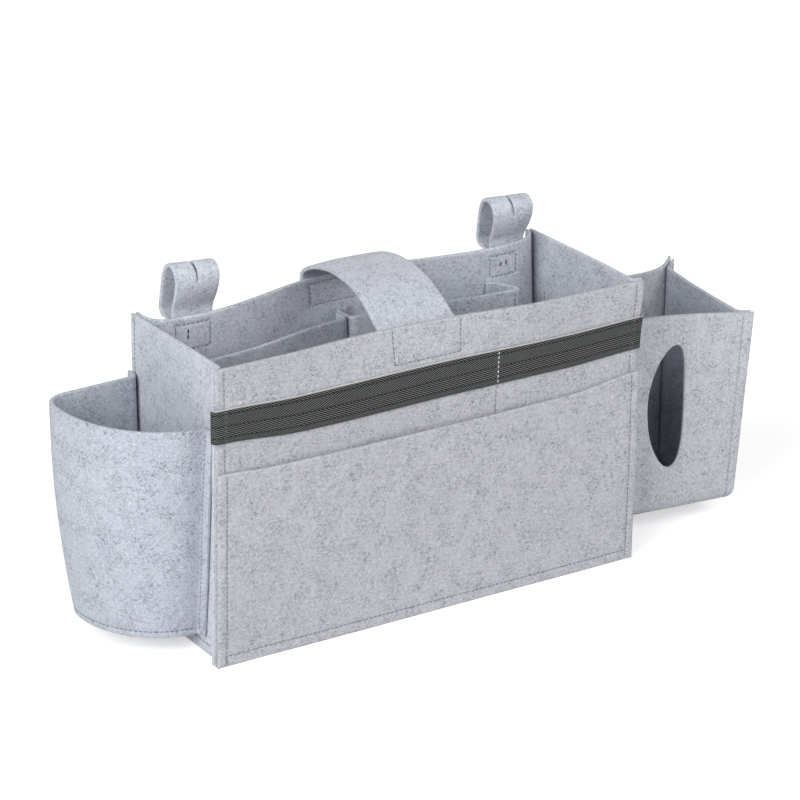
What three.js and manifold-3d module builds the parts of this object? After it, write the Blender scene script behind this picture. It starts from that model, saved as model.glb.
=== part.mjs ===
// Felt bedside caddy: a sewn felt box that hangs from a bed rail by two loops or stands on a table.
// It has a front slip pocket, a webbing strap, two inner pockets, a carry handle, a bottle pocket
// on the left end and a tissue pocket with an oval opening on the right end.
// Millimetres. +X is to the right seen from the front, +Y goes back towards the bed, +Z is up.
// While it is modelled, x = 0 is the middle of the box, y = 0 its front at the floor, z = 0 the floor.
import * as THREE from 'three';
import { mergeVertices } from 'three/addons/utils/BufferGeometryUtils.js';
import Module from 'manifold-3d';

const wasm = await Module();
wasm.setup();

// Felt and how it is sewn
const felt = 3;
const plyGap = 0.3;
const feltBend = 3.5;
const seamFlange = 8;

// Main box
const boxWidth = 316;
const boxHeight = 205;
const boxDepth = 118.5;
const frontFin = 4.5;
const rearFin = 11;
const frontLean = 5.9;
const endLean = 1.2;
const rearBendFoot = 5;
const rearBendRim = 18;
const waveDepth = 9.5;
const waveSkew = 2.5;
const waveRise = 1.5;
const baseRise = 11;
const baseNotch = 6;

// Front pocket and webbing strap
const frontPocketDrop = 72;
const frontPocketSlack = 2.4;
const webbingWidth = 24.5;
const webbingThickness = 1.4;
const webbingDrop = 27.5;

// Inner pockets on the back panel
const innerPocketDrop = 24;
const innerPocketDepth = 22;
const innerPocketWidth = 127;
const innerPocketSplit = -7;
const innerPocketJoint = 9;
const innerPocketSlant = 7;

// Carry handle
const handleWidth = 55;
const handleOffset = -4;
const handleRise = 16.5;
const handleCrown = 0.64;
const handleLeave = 14;
const handleTail = 23;

// Hanging loops
const loopWidth = 31;
const loopInset = 13.5;
const loopRise = 36.5;
const loopSlitWidth = 1.6;
const loopSlitLength = 11;
const loopHingeDrop = 7;
const loopForward = 11;
const loopBack = 13.5;
const loopTwist = 0.3;
const loopTail = 18;
const loopTailStep = 12.5;

// Side pockets, whose rims lie below the rim of the box
const sideRimDropFront = 44.5;
const sideRimDropRear = 39;

// Bottle pocket on the left end
const bottleFoot = 13;
const bottleReachRim = 69.3;
const bottleReachFoot = 55.7;
const bottleBulge = 4;
const bottleFrontRim = 16.5;
const bottleFrontFoot = 31.3;
const bottleRearInset = 10;
const bottleCorner = 17;
const bottleFrontFlange = 5;
const bottleBaseRise = 10;

// Tissue pocket on the right end
const tissueWidth = 107;
const tissueFront = 25;
const tissueRearInset = 17.5;
const tissueFoot = 18;
const tissueFold = 8;
const tissueFin = 7;
const tissueDent = 6.5;
const tissueSplayFront = 9;
const tissueSplayRear = 7;
const tissueDroop = 6;
const tissueFlare = 6;
const tissueRearShort = 5;
const tissueRearLift = 7;
const ovalWidth = 31;
const ovalHeight = 89;
const ovalOut = 45.9;
const ovalUp = 76.5;
const ovalBowTop = 9;
const ovalBowFoot = 4;

// How finely curved felt is divided
const bendSteps = 4;
const foldSteps = 6;
const curveSteps = 10;
const waveSteps = 22;
const handleSteps = 10;
const loopSteps = 44;
const ovalSteps = 40;

// Lengths that follow from the sizes above
const ply = felt + plyGap;
const rearLine = boxDepth - rearFin - felt / 2;
const baseTop = baseRise + plyGap;
const frontPocketHeight = boxHeight - frontPocketDrop;
const webbingTop = boxHeight - webbingDrop;
const innerPocketRim = boxHeight - innerPocketDrop;
const sideRimFront = boxHeight - sideRimDropFront;
const sideRimRear = boxHeight - sideRimDropRear;
const bottleRear = boxDepth - bottleRearInset;
const tissueRear = boxDepth - tissueRearInset;

const lerp = THREE.MathUtils.lerp;

// Handle length of a cubic curve that draws a quarter circle of radius 1
const quarterRound = 0.5523;

// Outer face of either end panel, and the centre planes of the panels, at a height
const endFace = (z) => boxWidth / 2 - endLean * z / boxHeight;
const endX = (z) => endFace(z) - felt / 2;
const frontEdge = (z) => endFace(z) + frontFin;
const frontY = (z) => ply + felt / 2 - frontLean * z / boxHeight;
const rearFinX = (z) => endX(z) - ply;
const rearBend = (z) => lerp(rearBendFoot, rearBendRim, z / boxHeight);
const loopX = rearFinX(boxHeight) - loopInset - loopWidth / 2;

// The back panel's rim is drawn forward at the loops, more at the left one, and stands back at the handle
function rearY(x, z) {
  const phase = Math.PI * x / loopX;
  const wave = waveDepth * Math.cos(phase) + waveSkew * Math.sin(phase / 2);
  return rearLine + wave * (z / boxHeight) ** waveRise;
}

// The same with the bends at both ends, where the back panel turns into its fins
function backY(x, z) {
  const bend = rearBend(z);
  const straight = rearFinX(z) - bend;
  const over = (Math.abs(x) - straight) / bend;
  if (over <= 0) return rearY(x, z);
  return rearY(Math.sign(x) * straight, z) + bend * (1 - Math.sqrt(1 - Math.min(over, 1))) ** 2;
}

const paleFelt = { color: 0xc6c9cf, roughness: 0.95, metalness: 0 };
const blueFelt = { color: 0xbfc4cc, roughness: 0.95, metalness: 0 };
const shadeFelt = { color: 0xb6b9bf, roughness: 0.95, metalness: 0 };
const wovenTape = { color: 0x474a4b, roughness: 0.7, metalness: 0 };

function piece(name, geometry, look) {
  geometry.computeVertexNormals();
  const mesh = new THREE.Mesh(geometry, new THREE.MeshStandardMaterial(look));
  mesh.name = name;
  return mesh;
}

// A closed sheet of even thickness round a grid of centre points: rows of equally many points.
// An upright sheet is thickened level, so that its top and bottom edges are cut flat.
function thicken(rows, thickness, upright = false) {
  const rowCount = rows.length;
  const columnCount = rows[0].length;
  const sideSize = rowCount * columnCount;
  const positions = new Float32Array(sideSize * 2 * 3);
  const along = new THREE.Vector3();
  const across = new THREE.Vector3();
  const corner = new THREE.Vector3();
  for (let r = 0; r < rowCount; r += 1) {
    for (let c = 0; c < columnCount; c += 1) {
      along.subVectors(rows[r][Math.min(c + 1, columnCount - 1)], rows[r][Math.max(c - 1, 0)]);
      across.subVectors(rows[Math.min(r + 1, rowCount - 1)][c], rows[Math.max(r - 1, 0)][c]);
      if (upright) {
        along.z = 0;
        across.set(0, 0, 1);
      }
      const normal = along.cross(across).normalize();
      for (const side of [0, 1]) {
        corner.copy(rows[r][c]).addScaledVector(normal, (0.5 - side) * thickness);
        corner.toArray(positions, (side * sideSize + r * columnCount + c) * 3);
      }
    }
  }
  const triangles = [];
  const quad = (a, b, c, d) => triangles.push(a, b, c, a, c, d);
  const at = (r, c, side) => side * sideSize + r * columnCount + c;
  for (let r = 0; r < rowCount - 1; r += 1) {
    for (let c = 0; c < columnCount - 1; c += 1) {
      quad(at(r, c, 0), at(r, c + 1, 0), at(r + 1, c + 1, 0), at(r + 1, c, 0));
      quad(at(r, c, 1), at(r + 1, c, 1), at(r + 1, c + 1, 1), at(r, c + 1, 1));
    }
  }
  const lastRow = rowCount - 1;
  const lastColumn = columnCount - 1;
  for (let c = 0; c < lastColumn; c += 1) {
    quad(at(0, c, 0), at(0, c, 1), at(0, c + 1, 1), at(0, c + 1, 0));
    quad(at(lastRow, c, 0), at(lastRow, c + 1, 0), at(lastRow, c + 1, 1), at(lastRow, c, 1));
  }
  for (let r = 0; r < lastRow; r += 1) {
    quad(at(r, 0, 0), at(r + 1, 0, 0), at(r + 1, 0, 1), at(r, 0, 1));
    quad(at(r, lastColumn, 0), at(r, lastColumn, 1), at(r + 1, lastColumn, 1), at(r + 1, lastColumn, 0));
  }
  const geometry = new THREE.BufferGeometry();
  geometry.setAttribute('position', new THREE.BufferAttribute(positions, 3));
  geometry.setIndex(triangles);
  return geometry;
}

// Heights from low to high in equal steps
function levels(low, high, steps) {
  return Array.from({ length: steps + 1 }, (_, i) => lerp(low, high, i / steps));
}

// A wall sheet from its plan outline at each height
function wall(heights, planAt, thickness = felt) {
  const rows = heights.map((z) => planAt(z).map((p) => new THREE.Vector3(p.x, p.y, z)));
  return thicken(rows, thickness, true);
}

function toSolid(geometry) {
  const bare = geometry.clone();
  bare.deleteAttribute('normal');
  bare.deleteAttribute('uv');
  const merged = mergeVertices(bare);
  const vertProperties = new Float32Array(merged.attributes.position.array);
  const triVerts = new Uint32Array(merged.index.array);
  return new wasm.Manifold(new wasm.Mesh({ numProp: 3, vertProperties, triVerts }));
}

function toGeometry(solid) {
  const mesh = solid.getMesh();
  const geometry = new THREE.BufferGeometry();
  geometry.setAttribute('position', new THREE.BufferAttribute(new Float32Array(mesh.vertProperties), 3));
  geometry.setIndex(new THREE.BufferAttribute(new Uint32Array(mesh.triVerts), 1));
  return geometry;
}

// A box between two corners
function block(low, high) {
  const size = new THREE.Vector3().subVectors(high, low);
  const middle = new THREE.Vector3().addVectors(low, high).multiplyScalar(0.5);
  return new THREE.BoxGeometry(size.x, size.y, size.z).translate(middle.x, middle.y, middle.z);
}

// Front panel: flat, wider than the box by a fin on each side
function frontPanel() {
  const planAt = (z) => [-1, 1].map((side) => new THREE.Vector2(side * frontEdge(z), frontY(z)));
  return wall([0, boxHeight], planAt);
}

// Front pocket panel: lies on the front panel, its free top edge standing off a little in the middle
function frontPocketPanel() {
  const columns = 16;
  const slack = (x, z) => {
    const nearMiddle = Math.cos(Math.PI * x / (2 * frontEdge(z)));
    return frontPocketSlack * nearMiddle ** 2 * (z / frontPocketHeight) ** 2;
  };
  const planAt = (z) => levels(-frontEdge(z), frontEdge(z), columns)
    .map((x) => new THREE.Vector2(x, frontY(z) - ply - slack(x, z)));
  return wall(levels(0, frontPocketHeight, 6), planAt);
}

// Webbing strap: across the front panel and turned round both of its side edges
function webbingStrap() {
  const clear = plyGap + webbingThickness / 2;
  const planAt = (z) => {
    const front = frontY(z) - felt / 2 - clear;
    const rear = frontY(z) + felt / 2;
    const edge = frontEdge(z);
    const out = edge + clear;
    const path = new THREE.Path();
    path.moveTo(-out, rear);
    path.lineTo(-out, front + clear);
    path.quadraticCurveTo(-out, front, -edge, front);
    path.lineTo(edge, front);
    path.quadraticCurveTo(out, front, out, front + clear);
    path.lineTo(out, rear);
    return path.getPoints(bendSteps);
  };
  return wall([webbingTop - webbingWidth, webbingTop], planAt, webbingThickness);
}

// End panel: front edge turned outward behind the front panel, rear edge straight into the rear fin
function endPanel(side) {
  const planAt = (z) => {
    const flangeY = frontY(z) + ply;
    const x = endX(z);
    const path = new THREE.Path();
    path.moveTo(frontEdge(z), flangeY);
    path.lineTo(x + feltBend, flangeY);
    path.quadraticCurveTo(x, flangeY, x, flangeY + feltBend);
    path.lineTo(x, boxDepth);
    const points = path.getPoints(bendSteps).map((p) => new THREE.Vector2(side * p.x, p.y));
    return side > 0 ? points : points.reverse();
  };
  return wall([0, boxHeight], planAt);
}

// Back panel: both edges turned back against the end panels, rim drawn into a wave
function backPanel() {
  const planAt = (z) => {
    const finX = rearFinX(z);
    const bend = rearBend(z);
    const rightY = rearY(finX - bend, z);
    const leftY = rearY(bend - finX, z);
    const path = new THREE.Path();
    path.moveTo(finX, boxDepth);
    path.lineTo(finX, rightY + bend);
    path.quadraticCurveTo(finX, rightY, finX - bend, rightY);
    for (const x of levels(finX - bend, bend - finX, waveSteps).slice(1)) {
      path.lineTo(x, rearY(x, z));
    }
    path.quadraticCurveTo(-finX, leftY, -finX, leftY + bend);
    path.lineTo(-finX, boxDepth);
    return path.getPoints(bendSteps);
  };
  return wall(levels(0, boxHeight, 8), planAt);
}

// Base panel: a plate with its four edges turned down to the floor inside the walls
function basePanel() {
  const halfWidth = endX(baseRise) - felt / 2 - plyGap;
  const front = frontY(0) + felt / 2 + plyGap;
  const rear = rearY(-loopX, baseRise) - felt / 2 - plyGap;
  const under = baseRise - felt;
  let panel = toSolid(block(
    new THREE.Vector3(-halfWidth, front, under),
    new THREE.Vector3(halfWidth, rear, baseRise),
  ));
  const flanges = [
    [-halfWidth + baseNotch, front, halfWidth - baseNotch, front + felt],
    [-halfWidth + baseNotch, rear - felt, halfWidth - baseNotch, rear],
    [-halfWidth, front + baseNotch, -halfWidth + felt, rear - baseNotch],
    [halfWidth - felt, front + baseNotch, halfWidth, rear - baseNotch],
  ];
  for (const [x0, y0, x1, y1] of flanges) {
    const flange = block(new THREE.Vector3(x0, y0, 0), new THREE.Vector3(x1, y1, baseRise - felt / 2));
    panel = panel.add(toSolid(flange));
  }
  return toGeometry(panel);
}

const innerPocketLeft = innerPocketSplit - innerPocketWidth;
const innerPocketRight = innerPocketSplit + innerPocketWidth;

// Adds the part of a plan outline that runs beside the back panel, a set distance in front of it
function followBack(path, fromX, toX, z, distance) {
  const steps = Math.max(1, Math.round(Math.abs(toX - fromX) / 10));
  for (const x of levels(fromX, toX, steps)) {
    path.lineTo(x, rearY(x, z) - distance);
  }
}

// Right inner pocket: flange, slanting gusset, face, gusset and flange in one strip
function rightInnerPocket() {
  const planAt = (z) => {
    const right = innerPocketRight;
    const left = innerPocketSplit;
    const seam = (x) => rearY(x, z) - ply;
    const face = (x) => rearY(x, z) - innerPocketDepth;
    const root = new THREE.Vector2(right - innerPocketSlant, seam(right - innerPocketSlant));
    const corner = new THREE.Vector2(right, face(right));
    const leave = root.clone().lerp(corner, feltBend / root.distanceTo(corner));
    const meet = corner.clone().lerp(root, feltBend / root.distanceTo(corner));
    const path = new THREE.Path();
    path.moveTo(root.x - seamFlange, seam(root.x - seamFlange));
    path.lineTo(root.x - feltBend, seam(root.x - feltBend));
    path.quadraticCurveTo(root.x, root.y, leave.x, leave.y);
    path.lineTo(meet.x, meet.y);
    path.quadraticCurveTo(corner.x, corner.y, right - feltBend, face(right - feltBend));
    followBack(path, right - feltBend, left + feltBend, z, innerPocketDepth);
    path.quadraticCurveTo(left, face(left), left, face(left) + feltBend);
    path.lineTo(left, seam(left) - feltBend);
    path.quadraticCurveTo(left, seam(left), left + feltBend, seam(left + feltBend));
    path.lineTo(left + seamFlange, seam(left + seamFlange));
    return path.getPoints(bendSteps);
  };
  return wall(levels(baseTop, innerPocketRim, 7), planAt);
}

// Left inner pocket: its right end is turned back along the right pocket's gusset
function leftInnerPocket() {
  const planAt = (z) => {
    const right = innerPocketSplit - ply;
    const left = innerPocketLeft;
    const seam = (x) => rearY(x, z) - ply;
    const face = (x) => rearY(x, z) - innerPocketDepth;
    const path = new THREE.Path();
    path.moveTo(right, face(right) + feltBend + innerPocketJoint);
    path.lineTo(right, face(right) + feltBend);
    path.quadraticCurveTo(right, face(right), right - feltBend, face(right - feltBend));
    followBack(path, right - feltBend, left + feltBend, z, innerPocketDepth);
    path.quadraticCurveTo(left, face(left), left, face(left) + feltBend);
    path.lineTo(left, seam(left) - feltBend);
    path.quadraticCurveTo(left, seam(left), left + feltBend, seam(left + feltBend));
    path.lineTo(left + seamFlange, seam(left + seamFlange));
    return path.getPoints(bendSteps);
  };
  return wall(levels(baseTop, innerPocketRim, 7), planAt);
}

// Carry handle: up from inside the front panel, over the box and down the outside of the back panel
function carryHandle() {
  const tailEnd = boxHeight - handleTail;
  const leave = boxHeight - handleLeave;
  const crown = boxHeight + handleRise;
  const columnAt = (x) => {
    const inside = (z) => frontY(z) + ply;
    const outside = (z) => rearY(x, z) + ply;
    const crownY = lerp(inside(boxHeight), outside(boxHeight), handleCrown);
    const setBack = inside(leave) + handleLeave * 0.9;
    const path = new THREE.Path();
    path.moveTo(inside(tailEnd), tailEnd);
    path.lineTo(inside(leave), leave);
    path.quadraticCurveTo(inside(leave), leave + handleLeave / 2, setBack, boxHeight - handleLeave / 3);
    path.bezierCurveTo(
      lerp(setBack, crownY, 0.27), lerp(boxHeight, crown, 0.55),
      lerp(setBack, crownY, 0.6), crown,
      crownY, crown,
    );
    path.bezierCurveTo(
      lerp(crownY, outside(boxHeight), 0.45), crown,
      outside(boxHeight), lerp(boxHeight, crown, 0.5),
      outside(boxHeight), boxHeight + felt / 2,
    );
    path.lineTo(outside(boxHeight), boxHeight);
    path.lineTo(outside(tailEnd), tailEnd);
    return path.getPoints(handleSteps).map((p) => new THREE.Vector3(x, p.x, p.y));
  };
  const xs = levels(handleOffset - handleWidth / 2, handleOffset + handleWidth / 2, 6);
  return thicken(xs.map(columnAt), felt);
}

// Where a hanging loop turns: on its neck, against the outside of the back panel
const loopHingeZ = boxHeight - loopHingeDrop;
const loopNeck = (felt + ply) / 2;

// First free depth behind the back panel over the width of a loop
function behindBack(side, z) {
  const edges = [-loopWidth / 2, 0, loopWidth / 2].map((dx) => backY(side * loopX + dx, z));
  return Math.max(...edges) + felt / 2 + plyGap;
}

const loopHingeY = (side) => behindBack(side, loopHingeZ) + loopNeck;

// Extrudes a profile drawn in (y, z) along X, centred on a middle
function alongX(shape, width, middle, curveSegments) {
  const geometry = new THREE.ExtrudeGeometry(shape, { depth: width, bevelEnabled: false, curveSegments });
  const frame = new THREE.Matrix4().set(0, 0, 1, middle - width / 2, 1, 0, 0, 0, 0, 1, 0, 0, 0, 0, 0, 1);
  return geometry.applyMatrix4(frame);
}

// Hanging loop: a folded strip in the shape of a drop that leans forward and twists towards its top,
// its fold slit across
function hangingLoop(side) {
  const top = loopHingeDrop + loopRise - felt / 2;
  const neck = ply / 2;
  const atRim = behindBack(side, boxHeight) + ply / 2 - loopHingeY(side);
  const middle = new THREE.CatmullRomCurve3([
    [-neck, 0],
    [atRim, loopHingeDrop],
    [-0.3 * loopForward, 0.31 * top],
    [-0.72 * loopForward, 0.52 * top],
    [-loopForward, 0.74 * top],
    [-0.95 * loopForward, 0.9 * top],
    [-0.5 * loopForward, top],
    [0.08 * loopBack, 0.96 * top],
    [0.45 * loopBack, 0.79 * top],
    [0.7 * loopBack, 0.57 * top],
    [0.92 * loopBack, 0.34 * top],
    [loopBack, 0.18 * top],
    [0.86 * loopBack, 0.09 * top],
    [0.5 * loopBack, 0.065 * top],
    [neck, 0.6 * felt],
  ].map(([y, z]) => new THREE.Vector3(y, z, 0)), false, 'centripetal').getPoints(loopSteps);
  const offset = (distance) => middle.map((p, i) => {
    const before = middle[Math.max(i - 1, 0)];
    const after = middle[Math.min(i + 1, middle.length - 1)];
    const run = new THREE.Vector2(after.x - before.x, after.y - before.y).normalize();
    return new THREE.Vector2(p.x - run.y * distance, p.y + run.x * distance);
  });
  const outline = new THREE.Shape(offset(felt / 2).reverse());
  outline.absarc(0, 0, loopNeck, Math.PI, Math.PI * 2, false);
  const eye = offset(-felt / 2).filter((p) => p.y > felt / 2);
  outline.holes.push(new THREE.Path(eye));
  const strip = toSolid(alongX(outline, loopWidth, side * loopX, bendSteps));
  const slit = block(
    new THREE.Vector3(side * loopX - loopSlitWidth / 2, -loopWidth, top + felt / 2 - loopSlitLength),
    new THREE.Vector3(side * loopX + loopSlitWidth / 2, loopWidth, top + felt),
  );
  const geometry = toGeometry(strip.subtract(toSolid(slit)));
  const position = geometry.attributes.position;
  for (let i = 0; i < position.count; i += 1) {
    const risen = Math.max(position.getZ(i) - loopHingeDrop, 0) / (top - loopHingeDrop);
    const turn = loopTwist * (position.getX(i) - side * loopX) * risen;
    position.setY(i, position.getY(i) - turn);
  }
  return geometry;
}

// Loop tail: the two sewn ends of the strip, flat on the outside of the back panel below the hinge.
// The rear ply ends lower, where it bends out into the loop's rear leg.
function loopTailStrip(side) {
  const high = loopHingeZ - loopNeck - plyGap;
  const rearHigh = high - loopTailStep;
  const low = high - loopTail;
  const inner = (z) => behindBack(side, z);
  const shape = new THREE.Shape([
    [inner(high), high],
    [inner(low), low],
    [inner(low) + felt, low],
    [inner(rearHigh - felt) + felt, rearHigh - felt],
    [inner(rearHigh - felt) + ply, rearHigh - felt],
    [inner(low) + ply, low],
    [inner(low) + ply + felt, low],
    [inner(rearHigh) + ply + felt, rearHigh],
    [inner(rearHigh) + felt, rearHigh],
    [inner(high) + felt, high],
  ].map(([y, z]) => new THREE.Vector2(y, z)));
  return alongX(shape, loopWidth, side * loopX, 1);
}

// Plan outline of the bottle pocket, from its front flange round to its rear flange
function bottlePlan(share, z) {
  const seamX = -(endFace(z) + plyGap + felt / 2);
  const front = lerp(bottleFrontFoot, bottleFrontRim, share);
  const bulge = bottleBulge * Math.sin(Math.PI * share);
  const reach = lerp(bottleReachFoot, bottleReachRim, share) + bulge;
  const outX = -(endFace(z) + reach);
  const cornerY = bottleRear - bottleCorner;
  const path = new THREE.Path();
  path.moveTo(seamX, front - feltBend - bottleFrontFlange);
  path.lineTo(seamX, front - feltBend);
  path.quadraticCurveTo(seamX, front, seamX - feltBend, front);
  path.bezierCurveTo(lerp(seamX, outX, 0.55), front, outX, lerp(front, cornerY, 0.42), outX, cornerY);
  path.quadraticCurveTo(outX, bottleRear, outX + bottleCorner, bottleRear);
  path.lineTo(seamX - feltBend, bottleRear);
  path.quadraticCurveTo(seamX, bottleRear, seamX, bottleRear + feltBend);
  path.lineTo(seamX, boxDepth);
  return path.getPoints(curveSteps);
}

// Bottle pocket wall: narrower at the foot, its rim rising towards the back
function bottlePocketWall() {
  const rows = levels(0, 1, 5).map((share) => {
    const plan = bottlePlan(share, lerp(bottleFoot, sideRimFront, share));
    return plan.map((p, i) => {
      const rim = lerp(sideRimFront, sideRimRear, i / (plan.length - 1));
      return new THREE.Vector3(p.x, p.y, lerp(bottleFoot, rim, share));
    }).reverse();
  });
  return thicken(rows, felt, true);
}

// Bottle pocket base: a plate with its edge turned down inside the wall
function bottlePocketBase() {
  const plan = bottlePlan(0, bottleFoot);
  const inset = (distance) => {
    const points = plan.map((p, i) => {
      const before = plan[Math.max(i - 1, 0)];
      const after = plan[Math.min(i + 1, plan.length - 1)];
      const run = new THREE.Vector2(after.x - before.x, after.y - before.y).normalize();
      return new THREE.Vector2(p.x + run.y * distance, p.y - run.x * distance);
    });
    const wallX = -(endFace(bottleFoot) + distance - felt / 2);
    return new THREE.Shape(points.filter((p) => p.x < wallX - feltBend));
  };
  const extrude = (distance, height) => {
    const options = { depth: height, bevelEnabled: false };
    return new THREE.ExtrudeGeometry(inset(distance), options).translate(0, 0, bottleFoot);
  };
  const clear = felt / 2 + plyGap;
  const plate = toSolid(extrude(clear, bottleBaseRise));
  return toGeometry(plate.subtract(toSolid(extrude(clear + felt, bottleBaseRise - felt).translate(0, 0, -plyGap))));
}

// Bends the straight tissue pocket to its hanging shape: out from the end panel, dented in front,
// splayed at its outer corners, drooping towards its outer side, its rear outer corner drawn in and up
function tissuePlace(out, y, z) {
  const share = out / tissueWidth;
  const back = (y - tissueFront) / (tissueRear - tissueFront);
  const up = (z - tissueFoot) / (sideRimFront - tissueFoot);
  const frontShift = tissueDent * Math.sin(Math.PI * share) * up - tissueSplayFront * share ** 2 * up;
  const rearShift = tissueSplayRear * share ** 6 * up;
  const lowered = z - tissueDroop * share + tissueRearLift * share ** 12 * up * back ** 4;
  const spread = (tissueFlare * up - tissueRearShort * back * share ** 7) * share;
  const x = endFace(lowered) + plyGap + felt / 2 + out + spread;
  return new THREE.Vector3(x, y + lerp(frontShift, rearShift, back), lowered);
}

// Upright profile of the tissue pocket in (y, z), drawn in by a distance: down, under and up again
function tissueProfile(inward) {
  const front = tissueFront + inward;
  const rear = tissueRear - inward;
  const foot = tissueFoot + inward;
  const fold = tissueFold - inward;
  const pull = fold * (1 - quarterRound);
  const path = new THREE.Path();
  path.moveTo(front, sideRimFront);
  for (const z of levels(sideRimFront, foot + fold, 6).slice(1)) {
    path.lineTo(front, z);
  }
  path.bezierCurveTo(front, foot + pull, front + pull, foot, front + fold, foot);
  for (const y of levels(front + fold, rear - fold, 3).slice(1)) {
    path.lineTo(y, foot);
  }
  path.bezierCurveTo(rear - pull, foot, rear, foot + pull, rear, foot + fold);
  for (const z of levels(foot + fold, sideRimRear, 5).slice(1)) {
    path.lineTo(rear, z);
  }
  return path.getPoints(foldSteps);
}

// Tissue pocket wrap: front wall, rounded bottom and back wall, with a flange on the end panel
function tissuePocketWrap() {
  const section = new THREE.Path();
  section.moveTo(0, -seamFlange);
  section.lineTo(0, -feltBend);
  section.quadraticCurveTo(0, 0, feltBend, 0);
  for (const out of levels(feltBend, tissueWidth, 16).slice(1)) {
    section.lineTo(out, 0);
  }
  const rows = section.getPoints(bendSteps).map((s) => tissueProfile(s.y)
    .map((p) => tissuePlace(s.x, p.x, p.y)));
  const wrap = toSolid(thicken(rows, felt));
  const middle = tissuePlace(ovalOut, tissueFront, tissueFoot + ovalUp);
  const oval = new THREE.Shape(levels(0, Math.PI * 2, ovalSteps).slice(1).map((angle) => {
    const rise = Math.sin(angle);
    const bow = (rise > 0 ? ovalBowTop : ovalBowFoot) * rise ** 2;
    return new THREE.Vector2(
      middle.x + Math.cos(angle) * ovalWidth / 2 + bow,
      middle.z + rise * ovalHeight / 2,
    );
  }));
  const cutDepth = tissueRear - tissueFront;
  const cutter = new THREE.ExtrudeGeometry(oval, { depth: cutDepth, bevelEnabled: false });
  cutter.rotateX(Math.PI / 2).translate(0, tissueFront + cutDepth / 2, 0);
  return toGeometry(wrap.subtract(toSolid(cutter)));
}

// Tissue pocket side: outer wall set into the wrap's end, its edge turned out into a fin
function tissuePocketSide() {
  const tray = (inward, from, to, openTop) => {
    const points = tissueProfile(inward).map((p) => p.clone());
    points[0].y += openTop;
    points[points.length - 1].y += openTop;
    const options = { depth: to - from, bevelEnabled: false };
    return toSolid(new THREE.ExtrudeGeometry(new THREE.Shape(points), options).translate(0, 0, from));
  };
  const outer = tray(ply - felt / 2, tissueWidth - tissueFin - felt, tissueWidth, 0);
  const inner = tray(ply + felt / 2, tissueWidth - tissueFin, tissueWidth + felt, felt);
  const geometry = toGeometry(outer.subtract(inner));
  const position = geometry.attributes.position;
  for (let i = 0; i < position.count; i += 1) {
    const place = tissuePlace(position.getZ(i), position.getX(i), position.getY(i));
    position.setXYZ(i, place.x, place.y, place.z);
  }
  return geometry;
}

const caddy = new THREE.Group();
caddy.add(
  piece('front_panel', frontPanel(), paleFelt),
  piece('front_pocket_panel', frontPocketPanel(), paleFelt),
  piece('webbing_strap', webbingStrap(), wovenTape),
  piece('left_end_panel', endPanel(-1), blueFelt),
  piece('right_end_panel', endPanel(1), blueFelt),
  piece('back_panel', backPanel(), shadeFelt),
  piece('base_panel', basePanel(), shadeFelt),
  piece('left_inner_pocket', leftInnerPocket(), shadeFelt),
  piece('right_inner_pocket', rightInnerPocket(), shadeFelt),
  piece('carry_handle', carryHandle(), paleFelt),
  piece('bottle_pocket_wall', bottlePocketWall(), blueFelt),
  piece('bottle_pocket_base', bottlePocketBase(), shadeFelt),
  piece('tissue_pocket_wrap', tissuePocketWrap(), paleFelt),
  piece('tissue_pocket_side', tissuePocketSide(), blueFelt),
);
for (const [name, side] of [['left', -1], ['right', 1]]) {
  const loop = piece(`${name}_hanging_loop`, hangingLoop(side), paleFelt);
  loop.position.set(0, loopHingeY(side), loopHingeZ);
  caddy.add(loop, piece(`${name}_loop_tail`, loopTailStrip(side), paleFelt));
}

// The origin is on the floor under the middle of the whole caddy
const bounds = new THREE.Box3().setFromObject(caddy, true);
const middle = bounds.getCenter(new THREE.Vector3());
caddy.position.set(-middle.x, -middle.y, -bounds.min.z);

const model = new THREE.Group();
model.add(caddy);

export default model;
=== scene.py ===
import bpy
import itertools
import math
import numpy as np
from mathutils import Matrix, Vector


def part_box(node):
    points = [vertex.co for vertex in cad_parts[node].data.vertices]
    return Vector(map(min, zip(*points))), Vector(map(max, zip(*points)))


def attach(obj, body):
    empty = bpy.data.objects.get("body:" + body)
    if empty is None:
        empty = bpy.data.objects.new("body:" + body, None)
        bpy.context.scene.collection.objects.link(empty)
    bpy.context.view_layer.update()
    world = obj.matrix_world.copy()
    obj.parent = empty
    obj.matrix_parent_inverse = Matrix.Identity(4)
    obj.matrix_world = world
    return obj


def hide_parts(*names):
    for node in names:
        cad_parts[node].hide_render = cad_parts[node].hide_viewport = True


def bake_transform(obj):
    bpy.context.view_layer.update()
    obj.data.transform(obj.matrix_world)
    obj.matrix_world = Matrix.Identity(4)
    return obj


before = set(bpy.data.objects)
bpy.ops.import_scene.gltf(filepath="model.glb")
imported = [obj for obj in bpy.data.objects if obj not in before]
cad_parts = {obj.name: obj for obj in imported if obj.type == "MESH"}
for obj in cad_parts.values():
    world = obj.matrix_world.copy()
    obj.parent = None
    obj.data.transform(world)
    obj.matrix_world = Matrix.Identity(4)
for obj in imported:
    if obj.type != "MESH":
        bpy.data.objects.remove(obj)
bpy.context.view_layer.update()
scene = bpy.context.scene
scene.view_settings.view_transform = "Standard"
print("frame loaded")

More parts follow.
